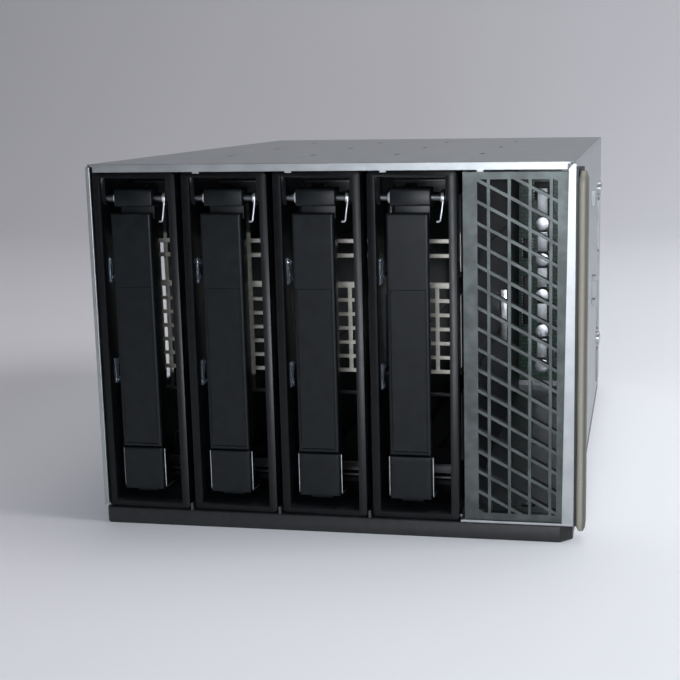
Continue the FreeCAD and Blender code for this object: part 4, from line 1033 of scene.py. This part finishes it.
def card(tree, shader):
    """Matt card whose glow is the product of three ramps: along X, along Y, and by distance."""
    feed(tree, shader, {"Base Color": tone("#e2e1e5"), "Roughness": 0.9})
    place = add(tree, "TexCoord")
    split = add(tree, "SeparateXYZ", inputs={"Vector": (place, "Object")})
    away = add(tree, "VectorMath", {"operation": "LENGTH"}, {0: (place, "Object")})
    across = add(tree, "MapRange", inputs={
        "Value": (split, "X"), "From Min": GLOW_ACROSS[0], "From Max": GLOW_ACROSS[1]})
    depth = add(tree, "MapRange", inputs={
        "Value": (split, "Y"), "From Min": GLOW_DEPTH[0], "From Max": GLOW_DEPTH[1],
        "To Min": 0.35})
    fade = add(tree, "MapRange", inputs={
        "Value": (away, "Value"), "From Min": GLOW_FADE[0], "From Max": GLOW_FADE[1],
        "To Min": 1.0, "To Max": 0.1})
    placed = add(tree, "Math", {"operation": "MULTIPLY"}, {
        0: (across, "Result"), 1: (depth, "Result")})
    faded = add(tree, "Math", {"operation": "MULTIPLY"}, {
        0: (placed, "Value"), 1: (fade, "Result")})
    glow = add(tree, "ValToRGB", inputs={"Fac": (faded, "Value")})
    for stop, code in zip(glow.color_ramp.elements, ("#05050a", "#a8b1b9")):
        stop.color = tone(code)
    ray = add(tree, "LightPath")
    direct = add(tree, "Math", {"operation": "ADD"}, {
        0: (ray, "Is Camera Ray"), 1: (ray, "Is Glossy Ray")})
    seen = add(tree, "Math", {"operation": "ADD", "use_clamp": True}, {
        0: (direct, "Value"), 1: (ray, "Is Transmission Ray")})
    feed(tree, shader, {
        "Emission Color": (glow, "Color"), "Emission Strength": (seen, "Value")})


CARD = finish_material("studio_card", card)
turn = np.linspace(0, math.pi / 2, 24)
card_y = np.concatenate([[-CARD_REACH], CURVE_START + CURVE_RADIUS * np.sin(turn),
                         [CURVE_START + CURVE_RADIUS]])
card_z = np.concatenate([[0], CURVE_RADIUS * (1 - np.cos(turn)), [CARD_TOP]])
card_x = np.linspace(-CARD_REACH, CARD_REACH, 2)
points = np.stack([np.repeat(card_x, len(card_y)), np.tile(card_y, 2), np.tile(card_z, 2)],
                  axis=-1)
index = np.arange(2 * len(card_y)).reshape(2, -1)
quads = np.stack([index[0, :-1], index[1, :-1], index[1, 1:], index[0, 1:]], axis=-1)
card_mesh = bpy.data.meshes.new("studio_card")
card_mesh.from_pydata(points.tolist(), [], quads.tolist())
card_mesh.shade_smooth()
card_mesh.materials.append(CARD)
sweep = bpy.data.objects.new("studio_card", card_mesh)
bpy.context.scene.collection.objects.link(sweep)
print("card reaches in m:", CARD_REACH)

# %% [markdown]
# Two small lamps in front, one of them close and low, light the black plastic and the front
# edge. Broad ones light the right wall and the top, and a dim sky, darker on the left, fills
# the shadows.

# %% Sky and lamps
world = bpy.data.worlds.new("studio_sky")
bpy.context.scene.world = world
world.use_nodes = True
world.node_tree.nodes.clear()
tree = world.node_tree
split = add(tree, "SeparateXYZ", inputs={"Vector": (add(tree, "TexCoord"), "Generated")})
side = add(tree, "MapRange", inputs={"Value": (split, "X"), "From Min": -0.8, "From Max": 0.9})
dusk = add(tree, "ValToRGB", inputs={"Fac": (side, "Result")})
for stop, code in zip(dusk.color_ramp.elements, ("#46474d", "#b4b7bd")):
    stop.color = tone(code)
sky = add(tree, "Background", inputs={"Color": (dusk, "Color"), "Strength": 0.6})
add(tree, "OutputWorld", inputs={"Surface": (sky, "Background")})


def lamp(name, place, target, size, power, code):
    """A square lamp at place, turned to face target."""
    light = bpy.data.lights.new(name, "AREA")
    light.size = size
    light.energy = power
    light.color = tone(code)[:3]
    obj = bpy.data.objects.new(name, light)
    obj.location = place
    obj.rotation_euler = (Vector(target) - Vector(place)).to_track_quat("-Z", "Y").to_euler()
    bpy.context.scene.collection.objects.link(obj)
    return obj


middle = (low + high) / 2
lamp("front_lamp", (0.22, -1.35, 0.2), middle, 0.35, 2.2, "#f4f8ff")
lamp("low_lamp", (0.07, -0.75, 0.11), (0.05, -0.1, 0.1), 0.1, 1.2, "#f4f8ff")
lamp("side_lamp", (1.1, -0.1, 0.75), middle, 0.6, 9, "#ffffff")
lamp("top_lamp", (0.2, 0.3, 1.5), middle, 1.0, 7, "#ffffff")
